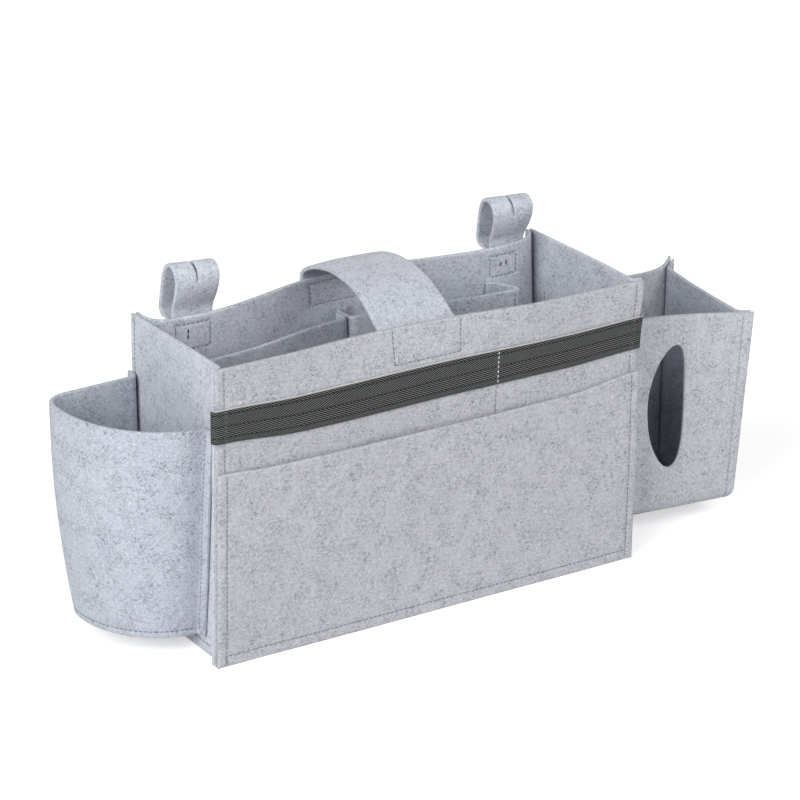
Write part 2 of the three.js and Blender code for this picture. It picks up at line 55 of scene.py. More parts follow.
# Everything below is drawn in millimetres from the box's own corner: x from the box's middle,
# y from its front at the floor, z from the floor. boxShift takes that to the frame's metres.
box = {"width": 316.0, "height": 205.0, "depth": 118.5, "felt": 3.0, "ply": 3.3, "gap": 0.3, "bend": 3.5,
       "fin": 4.5, "rearFin": 11.0, "frontLean": 5.9, "endLean": 1.2, "rearBend": (5.0, 18.0), "flange": 8.0,
       "waveDepth": 9.5, "waveSkew": 2.5, "waveRise": 1.5, "loopWidth": 29.5, "loopInset": 14.25}
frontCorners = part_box("front_panel")
boxShift = np.array([(frontCorners[0][0] + frontCorners[1][0])/2,
                     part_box("left_end_panel")[1][1] - box["depth"]/1000, 0.0])
felt, ply, gap, bend, high = (box[key] for key in ("felt", "ply", "gap", "bend", "height"))
rearLine = box["depth"] - box["rearFin"] - felt/2


def mix(a, b, f):
    return a + (b - a)*f


def ease(f):
    f = np.clip(f, 0, 1)
    return f*f*(3 - 2*f)


def swell(q, size, start, width):  # grows from 0 to size over the width
    return size*ease((q - start)/width)


def hump(q, size, middle, width):
    return size*np.exp(-((q - middle)/width)**2)


def endFace(z):
    return box["width"]/2 - box["endLean"]*z/high


def endX(z):
    return endFace(z) - felt/2


def frontEdge(z):
    return endFace(z) + box["fin"]


def frontY(z):
    return ply + felt/2 - box["frontLean"]*z/high


def rearFinX(z):
    return endX(z) - ply


loopX = rearFinX(high) - box["loopInset"] - box["loopWidth"]/2


def rearY(x, z):  # the back panel, drawn into a wave at its rim
    phase = math.pi*x/loopX
    wave = box["waveDepth"]*np.cos(phase) + box["waveSkew"]*np.sin(phase/2)
    return rearLine + wave*(z/high)**box["waveRise"]


def backY(x, z):  # the same with the bends into its fins
    turn = mix(*box["rearBend"], z/high)
    straight = rearFinX(z) - turn
    over = min(max((abs(x) - straight)/turn, 0), 1)
    return rearY(math.copysign(min(abs(x), straight), x), z) + turn*(1 - math.sqrt(1 - over))**2


# Soft unevenness of the whole caddy, in mm: one smooth field, so plies that touch stay apart
settling = {"waves": (((0.041, 0.017, 0.023), (0.22, 0.30), 0.4),  # how it runs, its push and its start
                      ((-0.019, 0.048, 0.034), (0.24, -0.14), 1.9),
                      ((0.066, -0.021, -0.052), (0.07, 0.15), 3.3),
                      ((0.028, 0.035, -0.061), (-0.13, 0.11), 5.0)),
            "atFloor": 0.35, "more": 0.65, "highest": 1.3, "lift": 0.55, "liftWave": (0.037, 0.021),
            "liftStart": 0.8}
# The handle draws the front rim back beside it, and the rim leans out further right: size, place, width
sway = {"reach": (1.0, 12.0, 45.0), "rim": (1.0, 158.0, 47.0), "drawn": (7.0, -42.0, 58.0),
        "lean": (4.0, 5.0, 70.0), "corner": (1.2, 105.0, 50.0), "belly": (2.5, -85.0, 70.0),
        "bellyHeight": (1.0, 165.0, 22.0)}


def frontSway(x, y, z):
    near = 1 - swell(y, *sway["reach"])
    back = hump(x, *sway["drawn"]) - swell(x, *sway["lean"]) - swell(x, *sway["corner"])
    belly = hump(x, *sway["belly"])*hump(z, *sway["bellyHeight"])
    return near*(back*swell(z, *sway["rim"]) - belly)


def settle(points):
    points = np.asarray(points, float)
    moved = points.copy()
    rise = np.clip(points[..., 2]/high, 0, settling["highest"])
    for wave, push, start in settling["waves"]:
        swing = np.sin(points @ np.array(wave) + start)*(settling["atFloor"] + settling["more"]*rise)
        moved[..., :2] += swing[..., None]*np.array(push)
    lifted = np.sin(points[..., :2] @ np.array(settling["liftWave"]) + settling["liftStart"])
    moved[..., 2] += settling["lift"]*rise**3*lifted
    moved[..., 1] += frontSway(*np.moveaxis(points, -1, 0))
    return moved


def toFrame(points):
    return settle(points)/1000 + boxShift


# Lines and surfaces

# points on a curve, mm between points along a sheet, points across the walls, and points in a search
fineness = {"curve": 17, "along": 0.7, "least": 40, "front": 61, "back": 89, "pocket": 33, "search": 900,
            "wrap": 420, "side": 301, "section": 131, "oval": 73}


def walk(start, *parts):  # a run of straight (2 numbers), quadratic (4) and cubic (6) parts
    points = [np.array(start, float)]
    for part in parts:
        a = points[-1]
        p = [np.array(part[i:i + 2], float) for i in range(0, len(part), 2)]
        steps = fineness["curve"] if len(p) > 1 else 2
        for f in np.linspace(0, 1, steps)[1:]:
            row = [a] + p
            while len(row) > 1:
                row = [mix(b, c, f) for b, c in zip(row, row[1:])]
            points.append(row[0])
    return np.array(points)


def runAlong(points):  # distance from the start at each point
    return np.concatenate([[0], np.cumsum(np.linalg.norm(np.diff(points, axis=0), axis=1))])


def lengthOf(points):
    return float(runAlong(points)[-1])


def evenly(points, count):
    points = np.asarray(points, float)
    run = runAlong(points)
    at = np.linspace(0, run[-1], count)
    return np.stack([np.interp(at, run, points[:, k]) for k in range(points.shape[1])], axis=1)


def tableSurface(keys, table, length, closed=False):  # s runs along the rows of points, t over their keys
    last, rows = table.shape[1] - 1, np.arange(len(keys))

    def at(s, t):
        s = np.asarray(s, float)
        u = (np.mod(s, length) if closed else np.clip(s, 0, length))/length*last
        k = np.interp(np.asarray(t, float), keys, rows)
        i = np.minimum(u.astype(int), last - 1)
        j = np.minimum(k.astype(int), len(keys) - 2)
        fu, fv = (u - i)[..., None], (k - j)[..., None]
        return mix(mix(table[j, i], table[j, i + 1], fu), mix(table[j + 1, i], table[j + 1, i + 1], fu), fv)
    return at


def skin(keys, rows):  # surface through one line of points for each key
    length = float(np.mean([lengthOf(row) for row in rows]))
    count = max(fineness["least"], int(length/fineness["along"]))
    return tableSurface(keys, np.stack([evenly(row, count) for row in rows]), length), length


def atHeight(plan, z):
    return np.column_stack([plan, np.full(len(plan), z)])


def wallSkin(heights, planAt):
    return skin(heights, [atHeight(planAt(z), z) for z in heights])


def facing(surface, s, t, reach=0.6):
    along = surface(s + reach, t) - surface(s - reach, t)
    up = surface(s, t + reach) - surface(s, t - reach)
    normal = np.cross(along, up)
    return normal/np.maximum(np.linalg.norm(normal, axis=-1, keepdims=True), 1e-9)


def awayFrom(points, *manyLines):  # distance of flat (s, t) points to the nearest of the lines
    best = np.full(len(points), 1e6)
    for line in manyLines:
        line = np.asarray(line, float)
        for a, b in zip(line[:-1], line[1:]):
            ab = b - a
            f = np.clip(((points - a) @ ab)/max(ab @ ab, 1e-9), 0, 1)
            best = np.minimum(best, np.linalg.norm(points - a - f[:, None]*ab, axis=1))
    return best


def upright(s, low, top):
    return [(s, low), (s, top)]


def level(t, start, end):
    return [(start, t), (end, t)]


def frameLines(s0, s1, t0, t1):  # foot, end, top and start of a flat rectangle
    return [level(t0, s0, s1), upright(s1, t0, t1), level(t1, s1, s0), upright(s0, t1, t0)]


def boxRun(s0, s1, t0, t1):  # the same for a box of stitches, start first
    sides = frameLines(s0, s1, t0, t1)
    return sides[3:] + sides[:3]


# Felt sheets

sheetMesh = {"cell": 4.0, "edgeSteps": (0.3, 0.9, 1.8), "seamSteps": (-1.9, -0.8, 0.0, 0.8, 1.9),
             "inside": 0.2, "apart": 0.22, "clear": 0.4,
             "cutEdge": ((0, 0.3, 0.9, 1.8), (0.52, 0.8, 0.95, 1.0)),  # how a cut edge rounds off
             "rolledEdge": ((0, 0.3, 0.9, 1.8, 3.4), (0.34, 0.55, 0.78, 0.93, 1.0)),  # puffed out by a seam
             "seamSink": 0.32, "seamWidth": 0.85, "pulled": 0.7, "cut": 1.1, "turned": 0.8,
             "patternStep": (731.0, 173.0), "innerStep": 1.7}
pieceNumbers = itertools.count(1)


def lines(low, top, seams=(), cell=None):
    cell = cell or sheetMesh["cell"]
    inside = sheetMesh["inside"]
    kept = {low, top}
    for d in sheetMesh["edgeSteps"]:
        kept |= {low + d, top - d}
    for q in seams:
        kept |= {q + d for d in sheetMesh["seamSteps"] if low + inside < q + d < top - inside}
    fixed = []
    for q in sorted(kept):
        if not fixed or q - fixed[-1] > sheetMesh["apart"]:
            fixed.append(q)
    fixed[-1] = top
    plain = np.linspace(low, top, max(2, round((top - low)/cell) + 1))
    free = [q for q in plain if min(abs(q - k) for k in fixed) > sheetMesh["clear"]*cell]
    return np.array(sorted(fixed + free))


def gridOf(sLines, tLines):
    s, t = np.meshgrid(sLines, tLines)
    n = len(sLines)
    r, c = np.meshgrid(np.arange(len(tLines) - 1), np.arange(n - 1), indexing="ij")
    a = (r*n + c).ravel()
    return np.column_stack([s.ravel(), t.ravel()]), np.column_stack([a, a + 1, a + n + 1, a + n])


def outlineEdges(faces):
    directed = set()
    for face in faces:
        directed.update(zip(face, np.roll(face, -1)))
    return [(a, b) for a, b in directed if (b, a) not in directed]


def compact(flat, faces):
    used = sorted({int(i) for face in faces for i in face})
    new = {old: i for i, old in enumerate(used)}
    return flat[used], [tuple(new[int(i)] for i in face) for face in faces]


def weldFaces(middle, faces):  # joins points that lie on each other
    first, same = {}, []
    for i, p in enumerate(np.round(middle, 2)):
        same.append(first.setdefault(tuple(p + 0.0), i))
    joined = [tuple(dict.fromkeys(same[i] for i in face)) for face in faces]
    return [face for face in joined if len(face) > 2]


def addMesh(name, points, faces, material, uv=None, marks=None):
    mesh = bpy.data.meshes.new(name)
    mesh.from_pydata(np.asarray(points, float).tolist(), [], [tuple(int(i) for i in face) for face in faces])
    mesh.polygons.foreach_set("use_smooth", [True]*len(mesh.polygons))
    if uv is not None:
        layer = mesh.uv_layers.new(name="cloth")
        layer.data.foreach_set("uv", np.asarray(uv, np.float32).ravel())
    for mark, values in (marks or {}).items():
        attribute = mesh.attributes.new(mark, "FLOAT", "POINT")
        attribute.data.foreach_set("value", np.asarray(values, np.float32))
    mesh.materials.append(material)
    mesh.update()
    piece = bpy.data.objects.new(name, mesh)
    scene.collection.objects.link(piece)
    return piece


def sheetArea(middle, faces):  # square mm of the felt that the piece was cut from
    total = 0.0
    for face in faces:
        p = middle[list(face)]
        total += 0.5*np.linalg.norm(sum(np.cross(p[k] - p[0], p[k + 1] - p[0]) for k in range(1, len(p) - 1)))
    return float(total)


def feltPiece(name, surface, flat, faces, material, edges, seams=(), rolled=(), weld=False, thickness=felt):
    # flat: (s, t) points in mm; edges: lines of the cut outline; seams: lines that the thread pulls in
    flat, faces = compact(np.asarray(flat, float), faces)
    if weld:
        flat, faces = compact(flat, weldFaces(surface(*flat.T), faces))

    def half(points):
        share = np.interp(awayFrom(points, *edges), *sheetMesh["cutEdge"])
        share = np.minimum(share, np.interp(awayFrom(points, *rolled), *sheetMesh["rolledEdge"]))
        for line in seams:
            share = share*(1 - hump(awayFrom(points, line), sheetMesh["seamSink"], 0, sheetMesh["seamWidth"]))
        return share*thickness/2

    s, t = flat.T
    middle, normal, thick = surface(s, t), facing(surface, s, t), half(flat)[:, None]
    points = np.concatenate([middle + normal*thick, middle - normal*thick])
    count = len(flat)
    rim = outlineEdges(faces)
    shift = next(pieceNumbers)*np.array(sheetMesh["patternStep"])
    uv = [flat[i] + shift for face in faces for i in face]
    uv += [flat[i]*(-1, 1) + shift*sheetMesh["innerStep"] for face in faces for i in face[::-1]]
    for a, b in rim:
        run = flat[b] - flat[a]
        out = np.array([run[1], -run[0]])/max(np.linalg.norm(run), 1e-9)*thickness
        uv += [flat[b] + shift, flat[a] + shift, flat[a] + out + shift, flat[b] + out + shift]
    everyFace = faces + [tuple(i + count for i in face[::-1]) for face in faces]
    everyFace += [(b, a, a + count, b + count) for a, b in rim]
    marks = {"pulled": hump(awayFrom(flat, *seams), 1, 0, sheetMesh["pulled"]),
             "cut": np.clip(1 - awayFrom(flat, *edges, *rolled)/sheetMesh["cut"], 0, 1),
             "turned": np.clip(1 - awayFrom(flat, *rolled)/sheetMesh["turned"], 0, 1)}
    bothSides = {mark: np.tile(values, 2) for mark, values in marks.items()}
    piece = addMesh(name, toFrame(points), everyFace, material, np.array(uv)/1000, bothSides)
    return {"piece": piece, "surface": surface, "half": half, "area": sheetArea(middle, faces)}


def rectPiece(name, surface, rect, material, seams, rolled=(), sSeams=(), tSeams=(), cells=(None, None),
              thickness=felt):
    # a piece cut as a rectangle: the sides named in rolled are puffed by a seam, the others plain cuts
    flat, faces = gridOf(lines(*rect[:2], sSeams, cells[0]), lines(*rect[2:], tSeams, cells[1]))
    sides = dict(zip(("foot", "end", "top", "start"), frameLines(*rect)))
    plain = [line for side, line in sides.items() if side not in rolled]
    puffed = [sides[side] for side in rolled]
    return feltPiece(name, surface, flat, faces, material, plain, seams, puffed, thickness=thickness)


def place(sheet, replaced, bodies=("caddy",)):
    piece = sheet["piece"]
    if len(bodies) == 1:
        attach(piece, bodies[0])
    else:
        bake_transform(piece)
    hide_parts(*replaced)


# Thread: each stitch is a short length of thread that dives into the felt at both ends

threadRun = {"pitch": 3.3, "shown": 2.5, "radius": 0.3, "sides": 6, "inset": 2.0,
             "lift": (-0.8, 0.08, 0.26, 0.08, -0.8), "along": (0.0, 0.2, 0.5, 0.8, 1.0)}
inset = threadRun["inset"]


def unit(vectors):
    return vectors/np.linalg.norm(vectors, axis=-1, keepdims=True)


def sew(name, sheet, side, runs, material, pitch=threadRun["pitch"], shown=threadRun["shown"],
        radius=threadRun["radius"]):
    surface, spots = sheet["surface"], []
    for run in runs:
        line = evenly(run, max(3, int(lengthOf(run))))
        far = runAlong(surface(*line.T))
        count = max(1, int((far[-1] + pitch - shown)/pitch))
        first = (far[-1] - (count*pitch - (pitch - shown)))/2
        at = first + np.arange(count)[:, None]*pitch + shown*np.array(threadRun["along"])
        spots.append(np.stack([np.interp(at, far, line[:, k]) for k in (0, 1)], axis=-1))
    spots = np.concatenate(spots)
    s, t = spots[..., 0], spots[..., 1]
    normal = facing(surface, s, t)*side
    rise = sheet["half"](spots.reshape(-1, 2)).reshape(s.shape) + np.array(threadRun["lift"])
    centre = surface(s, t) + normal*rise[..., None]
    along = unit(np.gradient(centre, axis=1))
    across = unit(np.cross(normal, along))
    outward = np.cross(along, across)
    n, rings = threadRun["sides"], len(threadRun["along"])
    turn = (np.arange(n)*2*math.pi/n)[:, None]
    spokes = np.cos(turn)*outward[:, :, None, :] + np.sin(turn)*across[:, :, None, :]
    points = centre[:, :, None, :] + radius*spokes
    faces, paintedShadeFaces = [], []  # at both ends the thread goes down into its needle hole, and those ends take a darker thread as painted shade
    for start in range(0, len(centre)*rings*n, rings*n):
        for r in range(rings - 1):
            for c in range(n):
                a, b = start + r*n + c, start + r*n + (c + 1) % n
                faces.append((a, b, b + n, a + n))
                paintedShadeFaces.append(r in (0, rings - 2))
        faces.append(tuple(start + c for c in range(n))[::-1])
        faces.append(tuple(start + (rings - 1)*n + c for c in range(n)))
        paintedShadeFaces += [True, True]
    piece = addMesh(name, toFrame(points.reshape(-1, 3)), faces, material)
    piece.data.materials.append(holeThreadPaintedShade)
    piece.data.polygons.foreach_set("material_index", np.array(paintedShadeFaces, np.int32))
    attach(piece, "caddy")


# Materials

def linear(code):  # sRGB hex to linear
    parts = [int(code[i:i + 2], 16)/255 for i in (1, 3, 5)]
    return tuple(c/12.92 if c <= 0.04045 else ((c + 0.055)/1.055)**2.4 for c in parts) + (1.0,)


def addNode(tree, kind, settings=None):  # a setting is a link, an input's value or the node's own property
    node = tree.nodes.new(kind)
    for key, value in (settings or {}).items():
        if isinstance(value, bpy.types.NodeSocket):
            tree.links.new(value, node.inputs[key])
        elif isinstance(key, int) or key in node.inputs:
            node.inputs[key].default_value = value
        else:
            setattr(node, key, value)
    return node


def calc(tree, operation, a, b=0.5, clamp=False):
    settings = {"operation": operation, "use_clamp": clamp, 0: a, 1: b}
    return addNode(tree, "ShaderNodeMath", settings).outputs[0]


def most(tree, first, *others):
    for other in others:
        first = calc(tree, "MAXIMUM", first, other)
    return first


def spread(tree, source, low, top, toLow=0.0, toTop=1.0):
    return addNode(tree, "ShaderNodeMapRange", {0: source, "From Min": low, "From Max": top,
                                                "To Min": toLow, "To Max": toTop}).outputs[0]


def noise(tree, where, scale, detail=1.0, roughness=0.5, output=0):
    return addNode(tree, "ShaderNodeTexNoise", {"noise_dimensions": "2D", "Vector": where, "Scale": scale,
                                                "Detail": detail, "Roughness": roughness}).outputs[output]


def tint(tree, share, under, code):
    settings = {"data_type": "RGBA", 0: share, 6: under, 7: linear(code)}
    return addNode(tree, "ShaderNodeMix", settings).outputs[2]


def marked(tree, mark, share):  # where the mesh carries a mark, such as a cut edge
    here = addNode(tree, "ShaderNodeAttribute", {"attribute_name": mark}).outputs["Fac"]
    return calc(tree, "MULTIPLY", here, share)


def relief(tree, height, strength, distance):
    return addNode(tree, "ShaderNodeBump", {"Strength": strength, "Distance": distance,
                                            "Height": height}).outputs[0]


def newMaterial(name):
    material = bpy.data.materials.new(name)
    material.use_nodes = True
    material.node_tree.nodes.clear()
    return material, material.node_tree


def clothPlace(tree):  # the flat cloth's own millimetres
    cloth = addNode(tree, "ShaderNodeUVMap", {"uv_map": "cloth"}).outputs[0]
    return addNode(tree, "ShaderNodeVectorMath", {"operation": "SCALE", 0: cloth, "Scale": 1000.0}).outputs[0]


def cover(tree, settings):
    shader = addNode(tree, "ShaderNodeBsdfPrincipled", settings)
    addNode(tree, "ShaderNodeOutputMaterial", {"Surface": shader.outputs[0]})


# Needle-punched polyester felt: a mat of short fibres in two greys, so the eye sees soft clouds of
# darker curly flecks on a pale ground, no shine, and a faint fuzz that lightens grazing surfaces.
heatherFelt = {"cloud": 13.0, "patch": 80.0, "fleck": 0.75, "curl": 2.2, "push": 2.6,
               "cloudDetail": (3.0, 0.62), "patchDetail": 2.0, "fleckDetail": (2.0, 0.7),
               "angles": (0.35, 1.4, 2.5), "fibre": (2.8, 0.34, 1),
               "fibreStep": (31.7, 12.3), "fibreScale": 0.8,
               "darkFibre": (0.585, 0.71), "paleFibre": (0.42, 0.28, 0.0, 0.6), "speck": (0.64, 0.78),
               "crowd": (0.36, 0.68, 0.42, 0.9), "patchShade": (0.3, 0.7, 0.0, 0.6),
               "cloudShade": (0.35, 0.7, 0.0, 0.7), "cutEdgeHighlight": 0.1, "groovePressedAndShade": 0.2,
               "bump": (0.55, 0.00035), "roughness": (0.0, 1.0, 0.86, 1.0), "sheen": 0.1575}


def needleFelt(name, ground, shade, fleck, pale):
    look = heatherFelt
    material, tree = newMaterial(name)
    mm = clothPlace(tree)
    cloud = noise(tree, mm, 1/look["cloud"], *look["cloudDetail"])
    patch = noise(tree, mm, 1/look["patch"], look["patchDetail"])
    # the fibres curl: the pattern's own coordinates are pushed about by a small noise
    p = look["push"]
    push = addNode(tree, "ShaderNodeVectorMath", {
        "operation": "MULTIPLY_ADD", 0: noise(tree, mm, 1/look["curl"], output=1),
        1: (p, p, 0), 2: (-p/2, -p/2, 0)}).outputs[0]
    curled = addNode(tree, "ShaderNodeVectorMath", {"operation": "ADD", 0: mm, 1: push}).outputs[0]
    strands = []
    for i, angle in enumerate(look["angles"]):
        turned = addNode(tree, "ShaderNodeMapping", {
            "vector_type": "TEXTURE", "Vector": curled, "Rotation": (0, 0, angle), "Scale": look["fibre"],
            "Location": (look["fibreStep"][0]*i, look["fibreStep"][1]*i, 0)}).outputs[0]
        strands.append(noise(tree, turned, look["fibreScale"]))
    highest = most(tree, *strands)
    lowest = calc(tree, "MINIMUM", strands[0], strands[2])
    speck = noise(tree, curled, 1/look["fleck"], *look["fleckDetail"])
    # dark fibres and specks crowd together in the clouds
    dark = most(tree, spread(tree, highest, *look["darkFibre"]), spread(tree, speck, *look["speck"]))
    dark = calc(tree, "MULTIPLY", dark, spread(tree, cloud, *look["crowd"]))
    shaded = most(tree, spread(tree, patch, *look["patchShade"]), spread(tree, cloud, *look["cloudShade"]))
    colour = tint(tree, shaded, linear(ground), shade)
    colour = tint(tree, spread(tree, lowest, *look["paleFibre"]), colour, pale)
    colour = tint(tree, dark, colour, fleck)
    # a cut edge is painted paler as a painted highlight where its fuzz catches the light, and a seam's
    # pressed groove is painted darker, partly the pressed felt and partly painted shade in the groove
    colour = tint(tree, marked(tree, "cut", look["cutEdgeHighlight"]), colour, pale)
    colour = tint(tree, marked(tree, "pulled", look["groovePressedAndShade"]), colour, fleck)
    cover(tree, {"Base Color": colour, "Roughness": spread(tree, speck, *look["roughness"]),
                 "Normal": relief(tree, calc(tree, "ADD", highest, speck), *look["bump"]), "IOR": 1.5,
                 "Specular IOR Level": 0.2, "Sheen Weight": look["sheen"], "Sheen Roughness": 0.6,
                 "Sheen Tint": (1, 1, 1, 1)})
    return material


# One felt in four copies: the first is its own colour; the other three are the same felt painted lighter,
# bluer or brighter as painted light, for the light falling on the tissue wrap, on the bottle, tissue-side and
# inner pockets, and on the ends, back, handle and loops.
paleFelt = needleFelt("needlePunchedFeltPale", "#C0C1C7", "#B3B4BB", "#72747B", "#D6D7DC")
feltPaintedLighter = needleFelt("needlePunchedFeltPaintedLighter", "#C8CAD1", "#BCBEC6", "#777A82", "#DADCE1")
feltPaintedCoolLight = needleFelt("needlePunchedFeltPaintedCoolLight", "#C3C8D3", "#B6BCC8", "#707683", "#D8DCE3")
feltPaintedBrightLight = needleFelt("needlePunchedFeltPaintedBrightLight", "#D3D7E1", "#C6CAD5", "#7C828F", "#E0E3E9")

# Woven polyester tape in herringbone twill: two dark greys in slanted ribs that turn back every few
# millimetres, a row of dark floats where they turn, and a dull shine along each rib.
herringbone = {"stripe": 8.4, "offset": 4.1, "slope": 0.5, "rib": 1.32, "ribFrom": (0.25, 0.95),
               "turn": (0.75, 0.15), "turnDark": 0.75, "yarn": 0.45,
               "yarnShare": (0.3, 0.7, 0.65, 1.15), "edgeDark": 0.6,
               "openWeave": 0.15, "bump": (0.7, 0.00035), "roughness": (0.0, 1.0, 0.75, 0.6)}


def herringboneTape(name, ground, rib, dark, selvedgeHighlight, yarn):
    look = herringbone
    material, tree = newMaterial(name)
    mm = clothPlace(tree)
    split = addNode(tree, "ShaderNodeSeparateXYZ", {0: mm})
    fold = calc(tree, "PINGPONG", calc(tree, "ADD", split.outputs[1], look["offset"]), look["stripe"])
    slanted = calc(tree, "MULTIPLY", fold, 1/look["slope"])
    turns = 2*math.pi*look["slope"]/math.hypot(1, look["slope"])/look["rib"]
    phase = calc(tree, "MULTIPLY", calc(tree, "SUBTRACT", split.outputs[0], slanted), turns)
    ribs = spread(tree, calc(tree, "SINE", phase), *look["ribFrom"])
    # where the slant turns, a row of dark floats
    wide, narrow = look["turn"]
    floats = most(tree, spread(tree, fold, wide, narrow),
                  spread(tree, fold, look["stripe"] - wide, look["stripe"] - narrow))
    floats = calc(tree, "MULTIPLY", floats, look["turnDark"])
    uneven = spread(tree, noise(tree, mm, 1/look["yarn"]), *look["yarnShare"])
    colour = tint(tree, calc(tree, "MULTIPLY", ribs, uneven, True), linear(ground), rib)
    colour = tint(tree, floats, colour, dark)
    colour = tint(tree, marked(tree, "cut", look["edgeDark"]), colour, dark)
    # the tape's upper edge is painted as a thin pale line, a painted highlight where it turns to the light
    colour = tint(tree, marked(tree, "turned", 1.0), colour, selvedgeHighlight)
    # under the stitches the weave is pulled open a little and its paler yarn shows
    colour = tint(tree, marked(tree, "pulled", look["openWeave"]), colour, yarn)
    cover(tree, {"Base Color": colour, "Roughness": spread(tree, ribs, *look["roughness"]),
                 "Normal": relief(tree, calc(tree, "SUBTRACT", ribs, floats), *look["bump"]), "IOR": 1.5,
                 "Specular IOR Level": 0.25, "Sheen Weight": 0.05, "Sheen Roughness": 0.5})
    return material


tapeWoven = herringboneTape("herringbonePolyesterTape", "#080A0A", "#828585", "#060808", "#DADBDB", "#9A9D9D")

# Spun polyester sewing thread: a twisted ply with a slight sheen, seen as small even dashes.
threadTwist = {"scale": 1000/0.9/20, "distortion": 1.5, "bump": (0.4, 0.0001)}


def sewingThread(name, ground, pale):
    material, tree = newMaterial(name)
    here = addNode(tree, "ShaderNodeTexCoord").outputs["Object"]
    twist = addNode(tree, "ShaderNodeTexWave", {"Vector": here, "Scale": threadTwist["scale"], "Detail": 1.0,
                                                "Distortion": threadTwist["distortion"]}).outputs[1]
    cover(tree, {"Base Color": tint(tree, twist, linear(ground), pale), "Roughness": 0.55, "IOR": 1.5,
                 "Sheen Weight": 0.1, "Normal": relief(tree, twist, *threadTwist["bump"])})
    return material


# This grey thread is painted darker than the real felt-toned thread, as painted shade of its needle holes and
# the seam's groove.
greyThreadPaintedShade = sewingThread("spunThreadGreyPaintedShade", "#5C6067", "#757980")
softThread = sewingThread("spunThreadSoft", "#868B95", "#9DA2AC")
darkThread = sewingThread("spunThreadDark", "#151719", "#25282B")
paleThread = sewingThread("spunThreadPale", "#C9CBCD", "#E6E7E8")
# the thread's ends in the needle holes, painted darker as painted shade
holeThreadPaintedShade = sewingThread("spunThreadPaintedShade", "#4E5157", "#5C5F65")
print("materials ready")


# Camera at the photograph's angle, and the light

def aimed(name, data, at, target):
    thing = bpy.data.objects.new(name, data)
    thing.location = at
    thing.rotation_euler = (Vector(target) - Vector(at)).to_track_quat("-Z", "Y").to_euler()
    scene.collection.objects.link(thing)
    return thing


view = {"eye": (-1123.4, -1749.8, 987.1), "target": (8.2, 54.0, 131.1),
        "lens": 155.97, "sensor": 36.0, "far": 50.0}
camera = bpy.data.cameras.new("camera")
camera.lens, camera.sensor_width, camera.clip_end = view["lens"], view["sensor"], view["far"]
scene.camera = aimed("camera", camera, *(np.array(view[key])/1000 + boxShift for key in ("eye", "target")))

# Broad soft light: two lamps from the left, one high in front, a fill from the right and one behind
lamps = {"key": {"at": (-2.7, -1.4, 1.3), "power": 47.0}, "side": {"at": (-2.4, -0.9, 2.0), "power": 44.0},
         "high": {"at": (-0.2, -2.2, 2.4), "power": 21.0}, "fill": {"at": (1.4, -2.4, 1.6), "power": 37.0},
         "rear": {"at": (1.0, 2.5, 1.5), "power": 36.0}}
lampSize, lampTarget = 2.0, (0, 0, 0.1)
for name, lamp in lamps.items():
    light = bpy.data.lights.new(name, "AREA")
    light.size, light.energy = lampSize, lamp["power"]
    aimed(name, light, lamp["at"], lampTarget)


def seenRays(tree):
    rays = addNode(tree, "ShaderNodeLightPath").outputs
    return most(tree, rays["Is Camera Ray"], rays["Is Glossy Ray"], rays["Is Transmission Ray"])


room = {"ambient": 0.02, "seen": 1.0}
world = bpy.data.worlds.new("whiteRoom")
world.use_nodes = True
tree = world.node_tree
tree.nodes.clear()
strength = spread(tree, seenRays(tree), 0.0, 1.0, room["ambient"], room["seen"])
backdrop = addNode(tree, "ShaderNodeBackground", {"Color": (1, 1, 1, 1), "Strength": strength})
addNode(tree, "ShaderNodeOutputWorld", {"Surface": backdrop.outputs[0]})
scene.world = world

# White paper floor: seen white, and it keeps the caddy's soft shadow; past the lamps' reach it glows more
paperFloor = {"side": 6.0, "below": 0.0002, "glow": (0.48, 1.0), "reach": (0.8, 2.4)}
paper, tree = newMaterial("whitePaperFloor")
matt = addNode(tree, "ShaderNodeBsdfDiffuse", {"Color": linear("#F4F4F4")}).outputs[0]
here = addNode(tree, "ShaderNodeTexCoord").outputs["Object"]
away = addNode(tree, "ShaderNodeVectorMath", {"operation": "LENGTH", 0: here}).outputs["Value"]
strength = spread(tree, away, *paperFloor["reach"], *paperFloor["glow"])
glow = addNode(tree, "ShaderNodeEmission", {"Color": (1, 1, 1, 1), "Strength": strength}).outputs[0]
both = addNode(tree, "ShaderNodeAddShader", {0: matt, 1: glow}).outputs[0]
pick = addNode(tree, "ShaderNodeMixShader", {0: seenRays(tree), 1: matt, 2: both}).outputs[0]
addNode(tree, "ShaderNodeOutputMaterial", {"Surface": pick})
side = paperFloor["side"]
floor = addMesh("floorPaper", [(-side, -side, 0), (side, -side, 0), (side, side, 0), (-side, side, 0)],
                [(0, 1, 2, 3)], paper)
floor.location.z = -paperFloor["below"]
print("camera and light ready")


# Front panel: flat felt with a fin past each side seam

frontPanel = {"seamIn": 6.2, "footSeam": 7.6, "handleBox": (-29.0, 20.0, 181.0, 203.5), "dividerX": 48.0,
              "divider": (126.0, 152.0), "seamDrop": 1.5, "shownSeams": ((135.0, 151.5), (179.5, 203.0))}


def frontLine(z):
    return np.array([(-frontEdge(z), frontY(z)), (frontEdge(z), frontY(z))])


